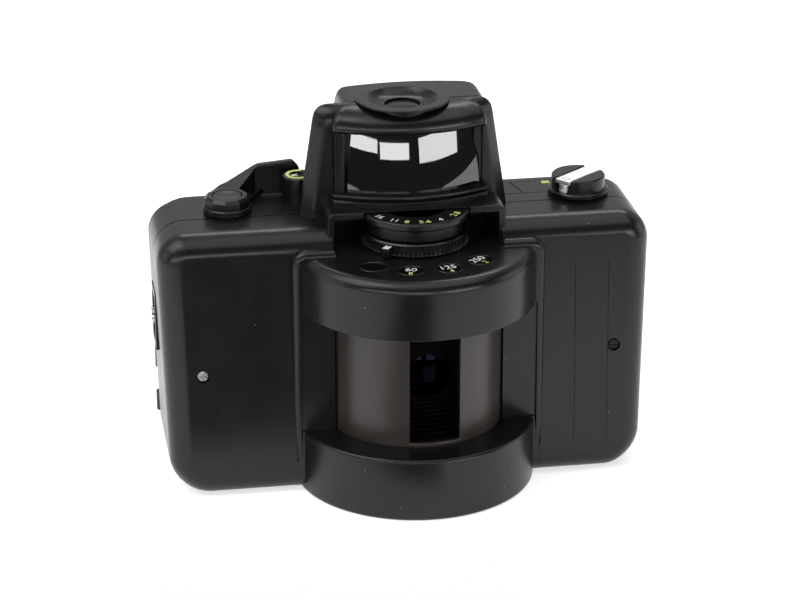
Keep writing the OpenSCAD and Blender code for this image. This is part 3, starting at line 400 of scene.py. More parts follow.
LEFT_END, RIGHT_END = (v.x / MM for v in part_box("front_shell"))
DECK = 80.0
SEAM = 10.65
REAR_SEAM = 11.15
WALL = 2.2
WING_FOOT = -10.5
WING_LEAN = 4.5
HOUSE_R = 35.8
HOUSE_TOP = 73.8
OPEN_LOW, OPEN_HIGH = 19.3, 56.3
DRUM_HOLE = 26.6
SHAFT_HOLE = 9.1
LOW_CORNER, TOP_CORNER, LEAST_CORNER = 11, 8.5, 1.5
# The ends swell like a barrel: where that starts, over what width it grows, and its widest height.
SWELL_FROM, SWELL_FADE = 45, 20
SWELL, SWELL_WIDEST, SWELL_REACH = 1.6, 56, 40


def wing_front(z):
    """Where the leaning front of the wings stands at a height."""
    return WING_FOOT + WING_LEAN * z / DECK


def end_draw(x, z):
    """How far the barrel-shaped ends are drawn in at a height, fading out towards the middle."""
    ends = min(1, max(0, (abs(x) - SWELL_FROM) / SWELL_FADE))
    return -math.copysign(SWELL * ends * ((z - SWELL_WIDEST) / SWELL_REACH) ** 2, x)


def wing_outline(inset_x=0, inset_z=0, top=TOP_CORNER, count=8):
    """Body outline seen from the front, with wide lower and tighter upper corners, drawn in by two insets."""
    left, right = LEFT_END + inset_x, RIGHT_END - inset_x
    low, high = inset_z, DECK - inset_z
    corners = ((left, low, LOW_CORNER, 180), (right, low, LOW_CORNER, 270),
               (right, high, top, 0), (left, high, top, 90))
    points = []
    for x, z, radius, start in corners:
        wide = max(LEAST_CORNER, radius - inset_x)
        tall = max(LEAST_CORNER, radius - inset_z)
        middle = (x + (wide if x < 0 else -wide), z + (tall if z < DECK / 2 else -tall))
        turns = [math.radians(start + 90 * i / count) for i in range(count + 1)]
        points += [(middle[0] + wide * math.cos(a), middle[1] + tall * math.sin(a)) for a in turns]
    return [(x + end_draw(x, z), z) for x, z in points]


def body_slice(name, front, back, back_round=0, top=TOP_CORNER):
    """A slice of the body between two depths, with its rear edge rounded where a radius is given."""
    rows = [(front, 0), (back, 0)]
    if back_round:
        bend = [math.radians(90 - 15 * i) for i in range(7)]
        rows[1:] = [(back - back_round * (1 - math.cos(a)), back_round * (1 - math.sin(a))) for a in bend]
    return stacked(name, [[(x, y, z) for x, z in wing_outline(inset, inset, top)] for y, inset in rows])


def hollow(obj, test, wall):
    """Opens the faces whose middle passes a test, and gives the skin that is left a wall inwards."""
    only(obj)
    bpy.ops.object.mode_set(mode="EDIT")
    bpy.ops.mesh.select_all(action="DESELECT")
    bpy.ops.mesh.select_mode(type="FACE")
    bpy.ops.object.mode_set(mode="OBJECT")
    for face in obj.data.polygons:
        face.select = test(face.center / MM, face.normal)
    bpy.ops.object.mode_set(mode="EDIT")
    bpy.ops.mesh.delete(type="FACE")
    bpy.ops.object.mode_set(mode="OBJECT")
    skin = obj.modifiers.new("skin", "SOLIDIFY")
    skin.thickness = wall * MM
    skin.offset = -1
    skin.use_even_offset = True
    bpy.ops.object.modifier_apply(modifier="skin")
    return obj


FILLET_X, FILLET_Y, FILLET_Z = 7.0, 7.0, 6.0
FILLET_STEPS = 8
rings = []
for a in [math.radians(90 * i / FILLET_STEPS) for i in range(FILLET_STEPS + 1)]:
    edge = wing_outline(FILLET_X * (1 - math.sin(a)), FILLET_Z * (1 - math.sin(a)))
    rings.append([(x, wing_front(z) + FILLET_Y * (1 - math.cos(a)), z) for x, z in edge])
wings = stacked("wing_moulding", rings + [[(x, SEAM, z) for x, z in wing_outline()]])
hollow(wings, lambda c, n: n.y > 0.9, WALL)


def leaning(name, low, high, depth):
    """A thin cutter that follows the wings' lean."""
    obj = block(name, (low[0], 0, low[1]), (high[0], 1, high[1]))
    for v in obj.data.vertices:
        deep = depth if v.co.y > 0.5 * MM else -1
        v.co.y = (wing_front(v.co.z / MM) + deep) * MM
    return obj


SCREW_PLACES = ((-63.7, 38.3), (58.7, 40.2))
GROOVE_LOW, GROOVE_HIGH = 11.4, 66.4
cut(wings, block("middle_gap", (-36.6, -40, -1), (36.6, 40, 72.6)),
    block("top_gap", (-25, -40, 70), (25, 40, 90)),
    leaning("inner_groove", (46.5, GROOVE_LOW), (46.95, GROOVE_HIGH), 0.3),
    leaning("outer_groove", (56.5, GROOVE_LOW), (56.9, GROOVE_HIGH), 0.25),
    *[rod("screw_sink", (x, z), 2.0, -14, wing_front(z) + 1.1, "Y") for x, z in SCREW_PLACES])

PLATE_TOP = 75.6
PLATE_FOOT = 7.0
PLATE_HALF = 37.3
INSIDE_HALF = 36.9
CHEEK_HALF = 34.9


def across(a, b):
    """Edges of the plate's sides that run from front to back."""
    return abs(a.x) > 37 and abs(a.x - b.x) < 0.1 and abs(a.z - b.z) < 0.1


def at_front(a, b, y=-9.9):
    """Edges that lie in the plate's front."""
    return a.y < y and b.y < y


def cheek_edge(a, b):
    """Upright front edges of the recess beside the drum."""
    return at_front(a, b) and abs(abs(a.x) - CHEEK_HALF) < 0.05 and abs(a.x - b.x) < 0.05


plate = block("drum_plate", (-PLATE_HALF, -10, PLATE_FOOT), (PLATE_HALF, -5.2, PLATE_TOP))
rounded(plate, lambda a, b: across(a, b) and a.z > 70, 4.5, 6)
rounded(plate, lambda a, b: at_front(a, b, -9.99), 2.0, 5)
cut(plate, block("cheek_recess", (-CHEEK_HALF, -12, OPEN_LOW), (CHEEK_HALF, -9.1, OPEN_HIGH)))
rounded(plate, cheek_edge, 0.7, 3)
foot = block("plate_foot", (-INSIDE_HALF, -9.98, 0), (INSIDE_HALF, -2.5, PLATE_FOOT + 3))
rounded(foot, lambda a, b: at_front(a, b) and a.z < 0.01 and b.z < 0.01, 6, 7)
weld(plate, foot)
cut(plate, rod("drum_hole", (0, 0), DRUM_HOLE, -1, 80, "Z", 128))


def arc(centre, radius, start, stop, count):
    """Points along an arc, in degrees, for the round parts of a section."""
    steps = [math.radians(start + (stop - start) * i / count) for i in range(count + 1)]
    return [(centre[0] + radius * math.cos(a), centre[1] + radius * math.sin(a)) for a in steps]


INNER_R = HOUSE_R - WALL
lower = turned("lower_band", [(0.01, 0)] + arc((HOUSE_R - 1.2, 1.2), 1.2, -90, 0, 4)
               + arc((HOUSE_R - 1.1, OPEN_LOW - 1.1), 1.1, 0, 90, 5)
               + [(DRUM_HOLE, OPEN_LOW), (DRUM_HOLE, OPEN_LOW - WALL), (INNER_R, OPEN_LOW - WALL),
                  (INNER_R, WALL), (0.01, WALL)], start=180, sweep=180)
upper = turned("upper_band", [(SHAFT_HOLE, HOUSE_TOP - WALL), (INNER_R, HOUSE_TOP - WALL),
                              (INNER_R, OPEN_HIGH + WALL), (DRUM_HOLE, OPEN_HIGH + WALL),
                              (DRUM_HOLE, OPEN_HIGH)]
               + arc((HOUSE_R - 0.6, OPEN_HIGH + 0.6), 0.6, -90, 0, 3)
               + arc((HOUSE_R - 3.6, HOUSE_TOP - 3.6), 3.6, 0, 90, 8) + [(SHAFT_HOLE, HOUSE_TOP)],
               start=180, sweep=180)
MARK_RING = 24.8
MARK_R = 3.7
MARK_TURNS = (-38, -12, 14, 40)


def round_spot(turn, radius):
    """A place on the housing's deck, by its turn from straight ahead."""
    a = math.radians(turn)
    return radius * math.sin(a), -radius * math.cos(a)


cut(upper, *[rod("mark_sink", round_spot(t, MARK_RING), MARK_R, HOUSE_TOP - 0.5, HOUSE_TOP + 2)
             for t in MARK_TURNS])
floor = block("floor_plate", (-INSIDE_HALF, -2.6, 0), (INSIDE_HALF, SEAM, WALL))
shelf = block("housing_deck", (-INSIDE_HALF, -1, HOUSE_TOP - WALL), (INSIDE_HALF, SEAM, HOUSE_TOP))
cut(shelf, rod("shaft_hole", (0, 0), SHAFT_HOLE, 60, 90))
weld(wings, plate, lower, upper, floor, shelf)
base_low, base_high = (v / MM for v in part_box("base_plate"))
BASE_GAP = 0.1
cut(wings, block("base_sink", (base_low.x - BASE_GAP, base_low.y - BASE_GAP, -1),
                 (base_high.x + BASE_GAP, base_high.y + BASE_GAP, base_high.z)),
    rod("bush_hole", (0, 0), 4.6, -1, 5))
smoothed(wings)
fitted(wings, ABS_BLACK, "body", "black_body", "front_shell")

# Finder front: the ring pocket's frame, the two stacked sill lips, the tapered posts and the
# overhanging visor of the hump, part of the same black moulding.
POCKET_HALF, FRAME_HALF = 24.2, 26.2
POCKET_TOP = 83.0
CEILING = 85.0
RING_BAY = 16.4
pocket = block("pocket_frame", (-FRAME_HALF, -4.5, HOUSE_TOP - 1), (FRAME_HALF, SEAM, CEILING))
rounded(pocket, lambda a, b: a.z > 84 and b.z > 84 and abs(a.x - b.x) < 0.1, 2.4, 5)
rounded(pocket, lambda a, b: a.y < -4.4 and b.y < -4.4, 0.5, 2)
cut(pocket, block("pocket_room", (-POCKET_HALF, -20, 60), (POCKET_HALF, 40, POCKET_TOP)),
    rod("ring_bay", (0, 0), RING_BAY, 60, 84.7, "Z", 96))


def pocket_mouth(a, b):
    """Front edges of the pocket's opening, but not of the frame round it."""
    inside = max(abs(a.x), abs(b.x)) < POCKET_HALF + 0.2
    return at_front(a, b, -3.9) and inside and min(a.z, b.z) < POCKET_TOP - 0.01 and max(a.z, b.z) > 74


rounded(pocket, pocket_mouth, 0.35, 2)


def bowed(front, half, bow, back, z, corner=0, count=20):
    """Outline with a bowed front, rounded front corners and a straight back, at one height."""
    inner = half - corner
    xs = [-inner + 2 * inner * i / count for i in range(count + 1)]
    line = [(x, front + bow - math.sqrt(bow * bow - x * x)) for x in xs]
    if corner:
        turn = line[-1][1]
        rim = [(inner + corner * math.sin(a), turn + corner * (1 - math.cos(a)))
               for a in [math.pi / 2 * i / 5 for i in range(1, 6)]]
        line = [(-x, y) for x, y in reversed(rim)] + line + rim
    return [(x, min(y, back - 0.2), z) for x, y in line] + [(half, back, z), (-half, back, z)]


level_low, level_high = (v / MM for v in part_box("level_bezel"))
LEVEL_AT = (level_low.xy + level_high.xy) / 2
LEVEL_R = (level_high.x - level_low.x) / 2
LEVEL_TOP = level_high.z
HUMP_X = LEVEL_AT.x
FINDER_X = -0.6
FINDER_BOW = 46
# Height and front of the sill's two lips.
SILL = ((84.6, -2.6), (84.9, -3.0), (86.2, -3.0), (86.5, -2.6), (86.55, -1.2), (86.8, -1.2), (86.85, -1.9),
        (87.1, -2.2), (87.7, -2.2), (88, -1.9))
sill = stacked("sill_lips", [bowed(y, 23.0, FINDER_BOW, SEAM, z, 1.2) for z, y in SILL])
# Height, front and half width of the visor.
VISOR = ((106.3, -0.4, 22.6), (106.5, -1.2, 22.6), (107.0, -1.7, 22.6), (107.6, -1.9, 22.6),
         (108.2, -1.8, 22.6), (109.0, -1.6, 22.5), (110.0, -1.1, 22.3), (110.9, -0.3, 21.9), (111.7, 0.8, 21.3),
         (112.4, 2.2, 20.4), (112.9, 3.8, 19.2), (113.25, 5.4, 17.6), (113.42, 6.8, 15.5))
visor = stacked("visor", [bowed(y, half, FINDER_BOW, 10.4, z, 2.0) for z, y, half in VISOR])
POST_Y = 6.4
FLARE = 3.4
# Height, half width and front of the hump's front half.
HUMP = ((79, 31.1, POST_Y), (80, 31, POST_Y), (107, 26.9, POST_Y), (109.5, 26.5, 6.7), (111, 26.1, 7.2),
        (112.1, 25.4, 7.9), (112.9, 24.4, 8.7), (113.35, 23.2, 9.4), (113.5, 22.0, 9.9))


def hump_outline(z, half, front):
    """Front of the hump at one height: flat between two upright ridges, and flared back beside them."""
    deep = SEAM - front
    right = [(half - FLARE, front), (half - 0.6, SEAM - 0.35 * deep), (half, SEAM - 0.13 * deep),
             (half, SEAM)]
    left = [(-x, y) for x, y in reversed(right)]
    return [(x + HUMP_X, y, z) for x, y in left + right]


def ridge(a, b):
    """Upright edges of the two posts."""
    on_post = abs(a.y - POST_Y) < 0.01 and abs(b.y - POST_Y) < 0.01
    return on_post and abs(a.z - b.z) > 0.1 and max(a.z, b.z) < 112


roof = stacked("visor_roof", [hump_outline(*row) for row in HUMP])
rounded(roof, ridge, 0.9, 4)
BAY_LEFT, BAY_RIGHT = -22.4, 21.2
cut(roof, block("finder_bay", (BAY_LEFT, -40, 70), (BAY_RIGHT, 40, 106.4)))
for piece in (visor, sill):
    piece.data.transform(Matrix.Translation((FINDER_X * MM, 0, 0)))
weld(roof, visor)
LEVEL_SEAT = LEVEL_R - 3.15
cut(roof, rod("level_seat", LEVEL_AT, LEVEL_SEAT, 107, 120, "Z", 96))
smoothed(roof, 30)
fitted(roof, ABS_BLACK, "body", "black_body", "front_shell")
smoothed(sill, 50)
fitted(sill, ABS_BLACK, "body", "black_body", "front_shell")
smoothed(pocket)
fitted(pocket, ABS_BLACK, "body", "black_body", "front_shell")

# Rear moulding: the ring of the body behind the seam with the rear of the finder hump.
# Black ABS as the front, with recesses for the strap lugs and a slot for the door latch.
REAR_FACE = 27.92
STRAP_Y, STRAP_Z = 18.0, 48.0
rear = body_slice("rear_moulding", REAR_SEAM, REAR_FACE)
hollow(rear, lambda c, n: abs(n.y) > 0.9, WALL)
STRAP_SINK = 2.4
for end, inward in ((LEFT_END, 1), (RIGHT_END, -1)):
    reach = sorted((end + 0.4 * inward, end + 5.2 * inward))
    weld(rear, block("strap_boss", (reach[0], STRAP_Y - 5.6, STRAP_Z - 9),
                     (reach[1], STRAP_Y + 5.6, STRAP_Z + 9)))
    cut(rear, block("strap_recess", (end - STRAP_SINK, STRAP_Y - 4, STRAP_Z - 7),
                    (end + STRAP_SINK, STRAP_Y + 4, STRAP_Z + 7), 1.2, 3))
cut(rear, block("latch_slot", (RIGHT_END - 4, 15.8, 19.8), (RIGHT_END + 2, 20.2, 35.2)))
weld(rear, block("rear_shelf", (-FRAME_HALF, REAR_SEAM, HOUSE_TOP - WALL), (FRAME_HALF, 20.2, DECK - 0.5)))
# Height, left and right reach, and how far the rear is drawn in, of the hump's rear half.
REAR_HUMP = ((79, 25.0, 28.1, 0), (107, 20.2, 23.7, 0), (111, 19.2, 23.0, 0), (112.3, 18.6, 22.4, 0.15),
             (113.1, 17.8, 21.6, 0.6), (113.5, 16.7, 20.4, 1.5))
REAR_BOW = 1.8
FINDER_Z = 96.55
FINDER_ROOM = 16.7


def rear_outline(z, left, right, inset, count=6):
    """Hump outline behind the seam, drawn in on the left, with rounded rear corners and a bowed rear."""
    back = REAR_FACE - inset
    bend = [(math.sin(a), math.cos(a)) for a in [math.pi / 2 * i / count for i in range(count + 1)]]
    right_side = [(right - 4 + 4 * c, back - 4 + 4 * s) for s, c in bend]
    left_side = [(-left + 2 - 2 * c, back - 2 + 2 * s) for s, c in reversed(bend)]
    middle, half = (right - 2 - left) / 2, (right + left - 6) / 2
    bow = [(middle - half * t, back + REAR_BOW * (1 - t * t)) for t in [i / 8 for i in range(-7, 8)]]
    return [(x, y, z) for x, y in [(-left, REAR_SEAM), (right, REAR_SEAM)] + right_side + bow + left_side]


hump = stacked("rear_hump", [rear_outline(*row) for row in REAR_HUMP])
cut(hump, block("finder_room", (HUMP_X - FINDER_ROOM, 5, 86.2), (HUMP_X + FINDER_ROOM, 25.8, 107.05)),
    rod("eye_hole", (HUMP_X, FINDER_Z), 8.2, 20, 40, "Y"),
    rod("level_seat", LEVEL_AT, LEVEL_SEAT, 107, 120, "Z", 96))
weld(rear, hump)
cut(rear, block("pocket_room", (-POCKET_HALF, 0, HOUSE_TOP), (POCKET_HALF, 18, POCKET_TOP)),
    rod("ring_bay", (0, 0), RING_BAY, HOUSE_TOP, 84.9, "Z", 96),
    rod("release_hole", (-8, 21), 3.15, -1, 5))
JOINT_DEEP = 0.3
slant = block("slant_joint", (-0.17, -6, DECK - JOINT_DEEP), (0.17, 6, DECK + 1))
slant.data.transform(Matrix.Translation(Vector((34.9, 23.6, 0)) * MM) @ Matrix.Rotation(0.19, 4, "Z"))
cut(rear, block("deck_joint", (29.5, 17.8, DECK - JOINT_DEEP), (44.6, 18.15, DECK + 1)), slant)
eased(rear, 0.22)
smoothed(rear)
fitted(rear, ABS_BLACK, "body", "black_body", "rear_shell")


# Back door: one hollow moulding of the same black ABS, with rounded edges.
# It hangs on a steel pin along the left end, in knuckles between the body's own lugs.
def axis_of(joint):
    """Where a joint's axis stands, in millimetres."""
    found = next(j for j in frame["record"]["behaviour"]["joints"] if j["name"] == joint)
    return Vector(found["pos_m"]) / MM


DOOR_FACE = 28.1
DOOR_ROUND, DOOR_CORNER = 3.4, 12
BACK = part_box("back_door")[1].y / MM
KNUCKLES = ((12, 17.8), (26.2, 57.8), (66.2, 68))
LUGS = ((17.8, 26.2), (57.8, 66.2))
hinge = axis_of("door_open")
door = body_slice("back_door_moulding", DOOR_FACE, BACK, DOOR_ROUND, DOOR_CORNER)
hollow(door, lambda c, n: n.y < -0.9, 2.0)
cut(door, block("hinge_side", (LEFT_END - 5, 20, -5), (hinge.x, 40, 90)))
weld(door, *[rod("door_knuckle", hinge.xy, 2.3, low, high) for low, high in KNUCKLES])
cut(door, rod("pin_hole", hinge.xy, 1.1, 0, 100),
    *[rod("lug_room", hinge.xy, 3.4, low, high) for low, high in LUGS])
eased(door, 0.2)
smoothed(door)
fitted(door, ABS_BLACK, "door", "black_body", "back_door")


# Lens drum: a thin aluminium cup in satin brown-black paint that swings behind the opening.
# Its tall window is milled through, with a black hood and fine light baffles behind it.
PEEL_MM = 0.6


def solid_paint(name, colour, rough, flake_mm, spread, ior=1.5):
    """Sprayed paint: an even tone with faint upright streaks, as from handling, and a slight orange peel."""
    finish, tree, skin, place = bare_finish(name)
    long = add_node(tree, "ShaderNodeMapping", [("Vector", place), ("Scale", (1, 1, 0.06))])
    streak = add_node(tree, "ShaderNodeTexNoise", [("Vector", long.outputs[0]),
                                                   ("Scale", 1 / (flake_mm * MM)), ("Detail", 3.0)])
    tone = add_node(tree, "ShaderNodeMix", [("Factor", streak.outputs[0]), ("A", linear(colour)),
                                            ("B", [spread * c for c in linear(colour)[:3]] + [1])],
                    data_type="RGBA")
    tree.links.new(tone.outputs["Result"], skin["Base Color"])
    polish = add_node(tree, "ShaderNodeMapRange", [("Value", streak.outputs[0]), ("To Min", rough - 0.05),
                                                   ("To Max", rough + 0.06)])
    tree.links.new(polish.outputs[0], skin["Roughness"])
    peel = add_node(tree, "ShaderNodeTexNoise", [("Vector", place), ("Scale", 1 / (PEEL_MM * MM))])
    bump = add_node(tree, "ShaderNodeBump", [("Height", peel.outputs[0]), ("Strength", 0.05),
                                             ("Distance", 0.03 * MM)])
    tree.links.new(bump.outputs[0], skin["Normal"])
    skin["IOR"].default_value = ior
    return finish


# Satin brown-black paint on the drum, and a flat black that swallows light on linings and works.
DRUM_PAINT = solid_paint("satin_drum_paint", "#292422", 0.32, 1.2, 1.5)
DULL_BLACK = solid_paint("flat_black_lining", "#050505", 0.85, 1.0, 1.6, 1.12)
DRUM_R, DRUM_WALL = 26.0, 1.6
DRUM_LOW, DRUM_HIGH = 14.0, 62.0
WINDOW_LOW, WINDOW_HIGH = 20.3, 55.3
WINDOW_HALF = 7.5
DRUM_TURN = 4.2
PIVOT_HOLE, END_WALL, RIM = 3.2, 2, 0.4
drum = turned("drum_shell", [(PIVOT_HOLE, DRUM_LOW), (DRUM_R - RIM, DRUM_LOW), (DRUM_R, DRUM_LOW + RIM),
                             (DRUM_R, DRUM_HIGH - RIM), (DRUM_R - RIM, DRUM_HIGH), (PIVOT_HOLE, DRUM_HIGH),
                             (PIVOT_HOLE, DRUM_HIGH - END_WALL), (DRUM_R - DRUM_WALL, DRUM_HIGH - END_WALL),
                             (DRUM_R - DRUM_WALL, DRUM_LOW + END_WALL), (PIVOT_HOLE, DRUM_LOW + END_WALL)],
              steps=128)
swing = Matrix.Rotation(math.radians(DRUM_TURN), 4, "Z")


def swung(obj):
    """Turns a piece with the drum to where it rests."""
    obj.data.transform(swing)
    return obj


cut(drum, swung(block("window_cut", (-WINDOW_HALF, -40, WINDOW_LOW), (WINDOW_HALF, -10, WINDOW_HIGH))),
    swung(block("slit_cut", (-4, 10, 24), (4, 40, 52))))
eased(drum, 0.3, 2, 50)
smoothed(drum)
fitted(drum, DRUM_PAINT, "drum", "drum_paint", "lens_drum")
BAFFLES, BAFFLE_BACK, BAFFLE_UP = 9, 0.5, 1.25
ribs = []
for i in range(BAFFLES):
    back, up = BAFFLE_BACK * i, BAFFLE_UP * i
    ribs.append(swung(block("window_baffle", (-7.2, -21.6 + back, 21.2 + up), (7.2, -18.4 + back, 21.6 + up))))
baffles = weld(*ribs)
baffles.name = "window_baffles"
eased(baffles, 0.08, 1)
fitted(baffles, DULL_BLACK, "drum", "dull_black")


SMEAR_MM = 9


def clear(name, tint, ior):
    """Polished optical glass with faint wiping smears."""
    finish, tree, skin, place = bare_finish(name)
    smear = add_node(tree, "ShaderNodeTexNoise", [("Vector", place), ("Scale", 1 / (SMEAR_MM * MM)),
                                                  ("Detail", 5.0)])
    haze = add_node(tree, "ShaderNodeMapRange", [("Value", smear.outputs[0]), ("From Min", 0.45),
                                                 ("From Max", 0.8), ("To Max", 0.06)])
    tree.links.new(haze.outputs[0], skin["Roughness"])
    skin["Base Color"].default_value = linear(tint)
    skin["Transmission Weight"].default_value = 1.0
    skin["IOR"].default_value = ior
    return finish


# Dark finder glass that mirrors the room clearly, and lens glass whose coating leaves a dim blue glint.
FINDER_GLASS = clear("finder_glass", "#24282a", 1.9)
COATED_GLASS = clear("coated_lens_glass", "#10121c", 1.12)
COATED_GLASS.node_tree.nodes["Principled BSDF"].inputs["Specular Tint"].default_value = linear("#a9bcff")

# Lens: a small wide lens in a flat black barrel inside the drum.
# Its front element is ground to a dome and blue coated.
lens_low, lens_high = (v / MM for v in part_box("lens_glass"))
LENS_Z = (lens_low.z + lens_high.z) / 2
LENS_R = (lens_high.z - lens_low.z) / 2 - 0.1
DOME = 2.2
DOME_RIM = 1.5
DOME_STEPS = 10
bowl = (LENS_R * LENS_R + DOME * DOME) / (2 * DOME)
edge = math.degrees(math.asin(LENS_R / bowl))
turns = [math.radians(edge * (1 - i / DOME_STEPS)) for i in range(DOME_STEPS + 1)]
cap = [(bowl * math.sin(a), DOME_RIM + DOME - bowl + bowl * math.cos(a)) for a in turns]
dome = turned("front_element", [(0, 0), (LENS_R, 0)] + cap, steps=64)
dome.data.transform(Matrix.Rotation(math.radians(90), 4, "X"))
dome.data.transform(Matrix.Translation(Vector((0, -12.2, LENS_Z)) * MM))
swung(dome)
smoothed(dome, 40)
fitted(dome, COATED_GLASS, "drum", "clear_glass")

# Speed ring: a low ribbed ring under the aperture ring, turned by its pointer arm.
# Moulded in black ABS from a polished tool, which leaves small clear highlights. The index on the arm
# is pad printed, in one of the two opaque inks that the dials share.
GLOSS_BLACK = moulded("polished_black_abs", "#0b0b0c", 0.27, 1.42, 0.3, grain=0.03)
PRINT_WHITE = solid_paint("white_pad_print", "#e9e9e2", 0.55, 0.8, 0.9)
PRINT_YELLOW = solid_paint("yellow_green_pad_print", "#d6dc7c", 0.55, 0.8, 0.9)


def ribbed(radius, depth, count, z):
    """Ring outline with shallow upright ribs round it."""
    points = []
    for i in range(count):
        for part, r in ((0.0, radius), (0.45, radius), (0.55, radius - depth), (0.9, radius - depth)):
            t = 2 * math.pi * (i + part) / count
            points.append((r * math.cos(t), r * math.sin(t), z))
    return points


SHAFT_R = 9.6
SPEED_R = 15.7
SPEED_RIBS = 72
POINTER_TURN = -38
# Height, radius and depth of the ribs.
SPEED_ROWS = ((74.1, 15.4, 0), (74.4, SPEED_R, 0.02), (74.8, SPEED_R, 0.28), (77.3, SPEED_R, 0.28),
              (77.6, SPEED_R, 0.02), (78.0, 15.3, 0))
speed = stacked("speed_ring_ribs", [ribbed(r, deep, SPEED_RIBS, z) for z, r, deep in SPEED_ROWS])
cut(speed, rod("shaft_bore", (0, 0), SHAFT_R, 70, 90))
arm = block("pointer_arm", (-1.3, -17.9, 74.2), (1.3, -12, 77.0), 0.35, 2)
point = Matrix.Rotation(math.radians(POINTER_TURN), 4, "Z")
arm.data.transform(point)
weld(speed, arm)
smoothed(speed)
fitted(speed, GLOSS_BLACK, "speed", "gloss_black", "speed_ring")
index = block("speed_index", (-0.95, -17.8, 76.95), (0.95, -14.9, 77.08))
index.data.transform(point)
eased(index, 0.04, 1)
fitted(index, PRINT_WHITE, "speed", "dial_white")

# Aperture ring: a waisted ring of polished black ABS with an overhanging rim, above the speed ring.
# Its stops are pad printed on the rim, and the speeds in four round recesses of the housing's deck.
STOP_FACE = 84.4
STOP_RING = 13.6
aperture = turned("aperture_ring_body", [(SHAFT_R, 78.3), (14.3, 78.3), (14.6, 78.6), (14.6, 81.6),
                                         (14.9, 82.0), (15.6, 82.1)]
                  + arc((15.6, 82.5), 0.4, -90, 0, 3) + arc((15.3, 83.7), 0.7, 0, 80, 4)
                  + [(11, STOP_FACE), (SHAFT_R, STOP_FACE)], steps=120)
smoothed(aperture, 30)
fitted(aperture, GLOSS_BLACK, "aperture", "gloss_black", "aperture_ring")


def lettering(name, words, size, spot, turn, finish, body, depth=0.06):
    """Pad-printed figures lying flat: text made a mesh, then turned and put in its place."""
    bpy.ops.object.select_all(action="DESELECT")
    bpy.ops.object.text_add()
    obj = bpy.context.object
    obj.name = name
    obj.data.body = words
    obj.data.align_x = "CENTER"
    obj.data.align_y = "CENTER"
    obj.data.size = size * MM
    obj.data.extrude = depth / 2 * MM
    obj.data.resolution_u = 3
    bpy.ops.object.convert(target="MESH")
    obj.data.transform(Matrix.Rotation(math.radians(turn), 4, "Z"))
    obj.data.transform(Matrix.Translation(Vector(spot) * MM))
    outward(obj)
    return fitted(obj, finish, body, "dial_white")


STOPS = (("16", -58, PRINT_WHITE), ("11", -35, PRINT_WHITE), ("8", -19, PRINT_YELLOW),
         ("5.6", 3, PRINT_YELLOW), ("4", 24, PRINT_WHITE), ("2.8", 51, PRINT_YELLOW))
for words, turn, finish in STOPS:
    lettering("stop_" + words, words, 3.0, (*round_spot(turn, STOP_RING), STOP_FACE), turn, finish, "aperture")
SPEEDS = (("60", "8", -12), ("125", "4", 14), ("250", "2", 40))
MARK_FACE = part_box("speed_marks")[1].z / MM + 0.02
for fast, slow, turn in SPEEDS:
    for words, size, out, ink in ((fast, 3.6, -1.1, PRINT_WHITE), (slow, 2.8, 1.9, PRINT_YELLOW)):
        spot = (*round_spot(turn, MARK_RING + out), MARK_FACE)
        lettering("speed_" + words, words, size, spot, turn, ink, "body")
RIM_FOOT, RIM_EDGE, RIM_TOP = HOUSE_TOP - 0.3, HOUSE_TOP + 0.06, HOUSE_TOP + 0.16
for turn in MARK_TURNS:
    rim = turned("mark_rim", [(3.6, RIM_FOOT), (3.6, RIM_EDGE), (MARK_R, RIM_TOP), (3.9, RIM_EDGE),
                              (3.95, RIM_FOOT)], round_spot(turn, MARK_RING), steps=48)
    smoothed(rim, 60)
    fitted(rim, GLOSS_BLACK, "body", "gloss_black", "front_shell")

# Finder glass: a wide pane of the wide-angle finder, bowed round the eye and leaning back.
# Ground and polished glass, set behind the posts between sill and visor.
GLASS_HALF = 20.9
GLASS_THICK = 1.6
GLASS_FOOT = 0.2
GLASS_ROWS = 12
GLASS_BOW = 40.0
GLASS_LOW, GLASS_HIGH = 88.0, 106.4
GLASS_LEAN = 0.17
GLASS_BULGE = 70.0


def pane_front(z):
    """Front of the pane on its middle line at a height."""
    lift = z - (GLASS_LOW + GLASS_HIGH) / 2
    return GLASS_FOOT + GLASS_LEAN * (z - GLASS_LOW) + GLASS_BULGE - math.sqrt(GLASS_BULGE ** 2 - lift * lift)


def pane_outline(z, count=40):
    """Outline of the bowed pane at one height."""
    front = pane_front(z)
    xs = [-GLASS_HALF + 2 * GLASS_HALF * i / count for i in range(count + 1)]
    face = [(x + FINDER_X, front + GLASS_BOW - math.sqrt(GLASS_BOW ** 2 - x * x), z) for x in xs]
    return face + [(x, y + GLASS_THICK, z) for x, y, z in reversed(face)]


pane = stacked("finder_pane", [pane_outline(GLASS_LOW + (GLASS_HIGH - GLASS_LOW) * i / GLASS_ROWS)
                               for i in range(GLASS_ROWS + 1)])
smoothed(pane, 40)
fitted(pane, FINDER_GLASS, "body", "clear_glass", "finder_window")
cheeks = weld(block("pane_cheeks", (BAY_LEFT - 0.3, 4.2, 84.2), (-19.9, SEAM, 107), 0.3, 2),
              block("pane_cheek", (18.9, 7.4, 84.2), (BAY_RIGHT + 0.3, SEAM, 107), 0.3, 2))
smoothed(cheeks)
fitted(cheeks, ABS_BLACK, "body", "black_body", "front_shell")

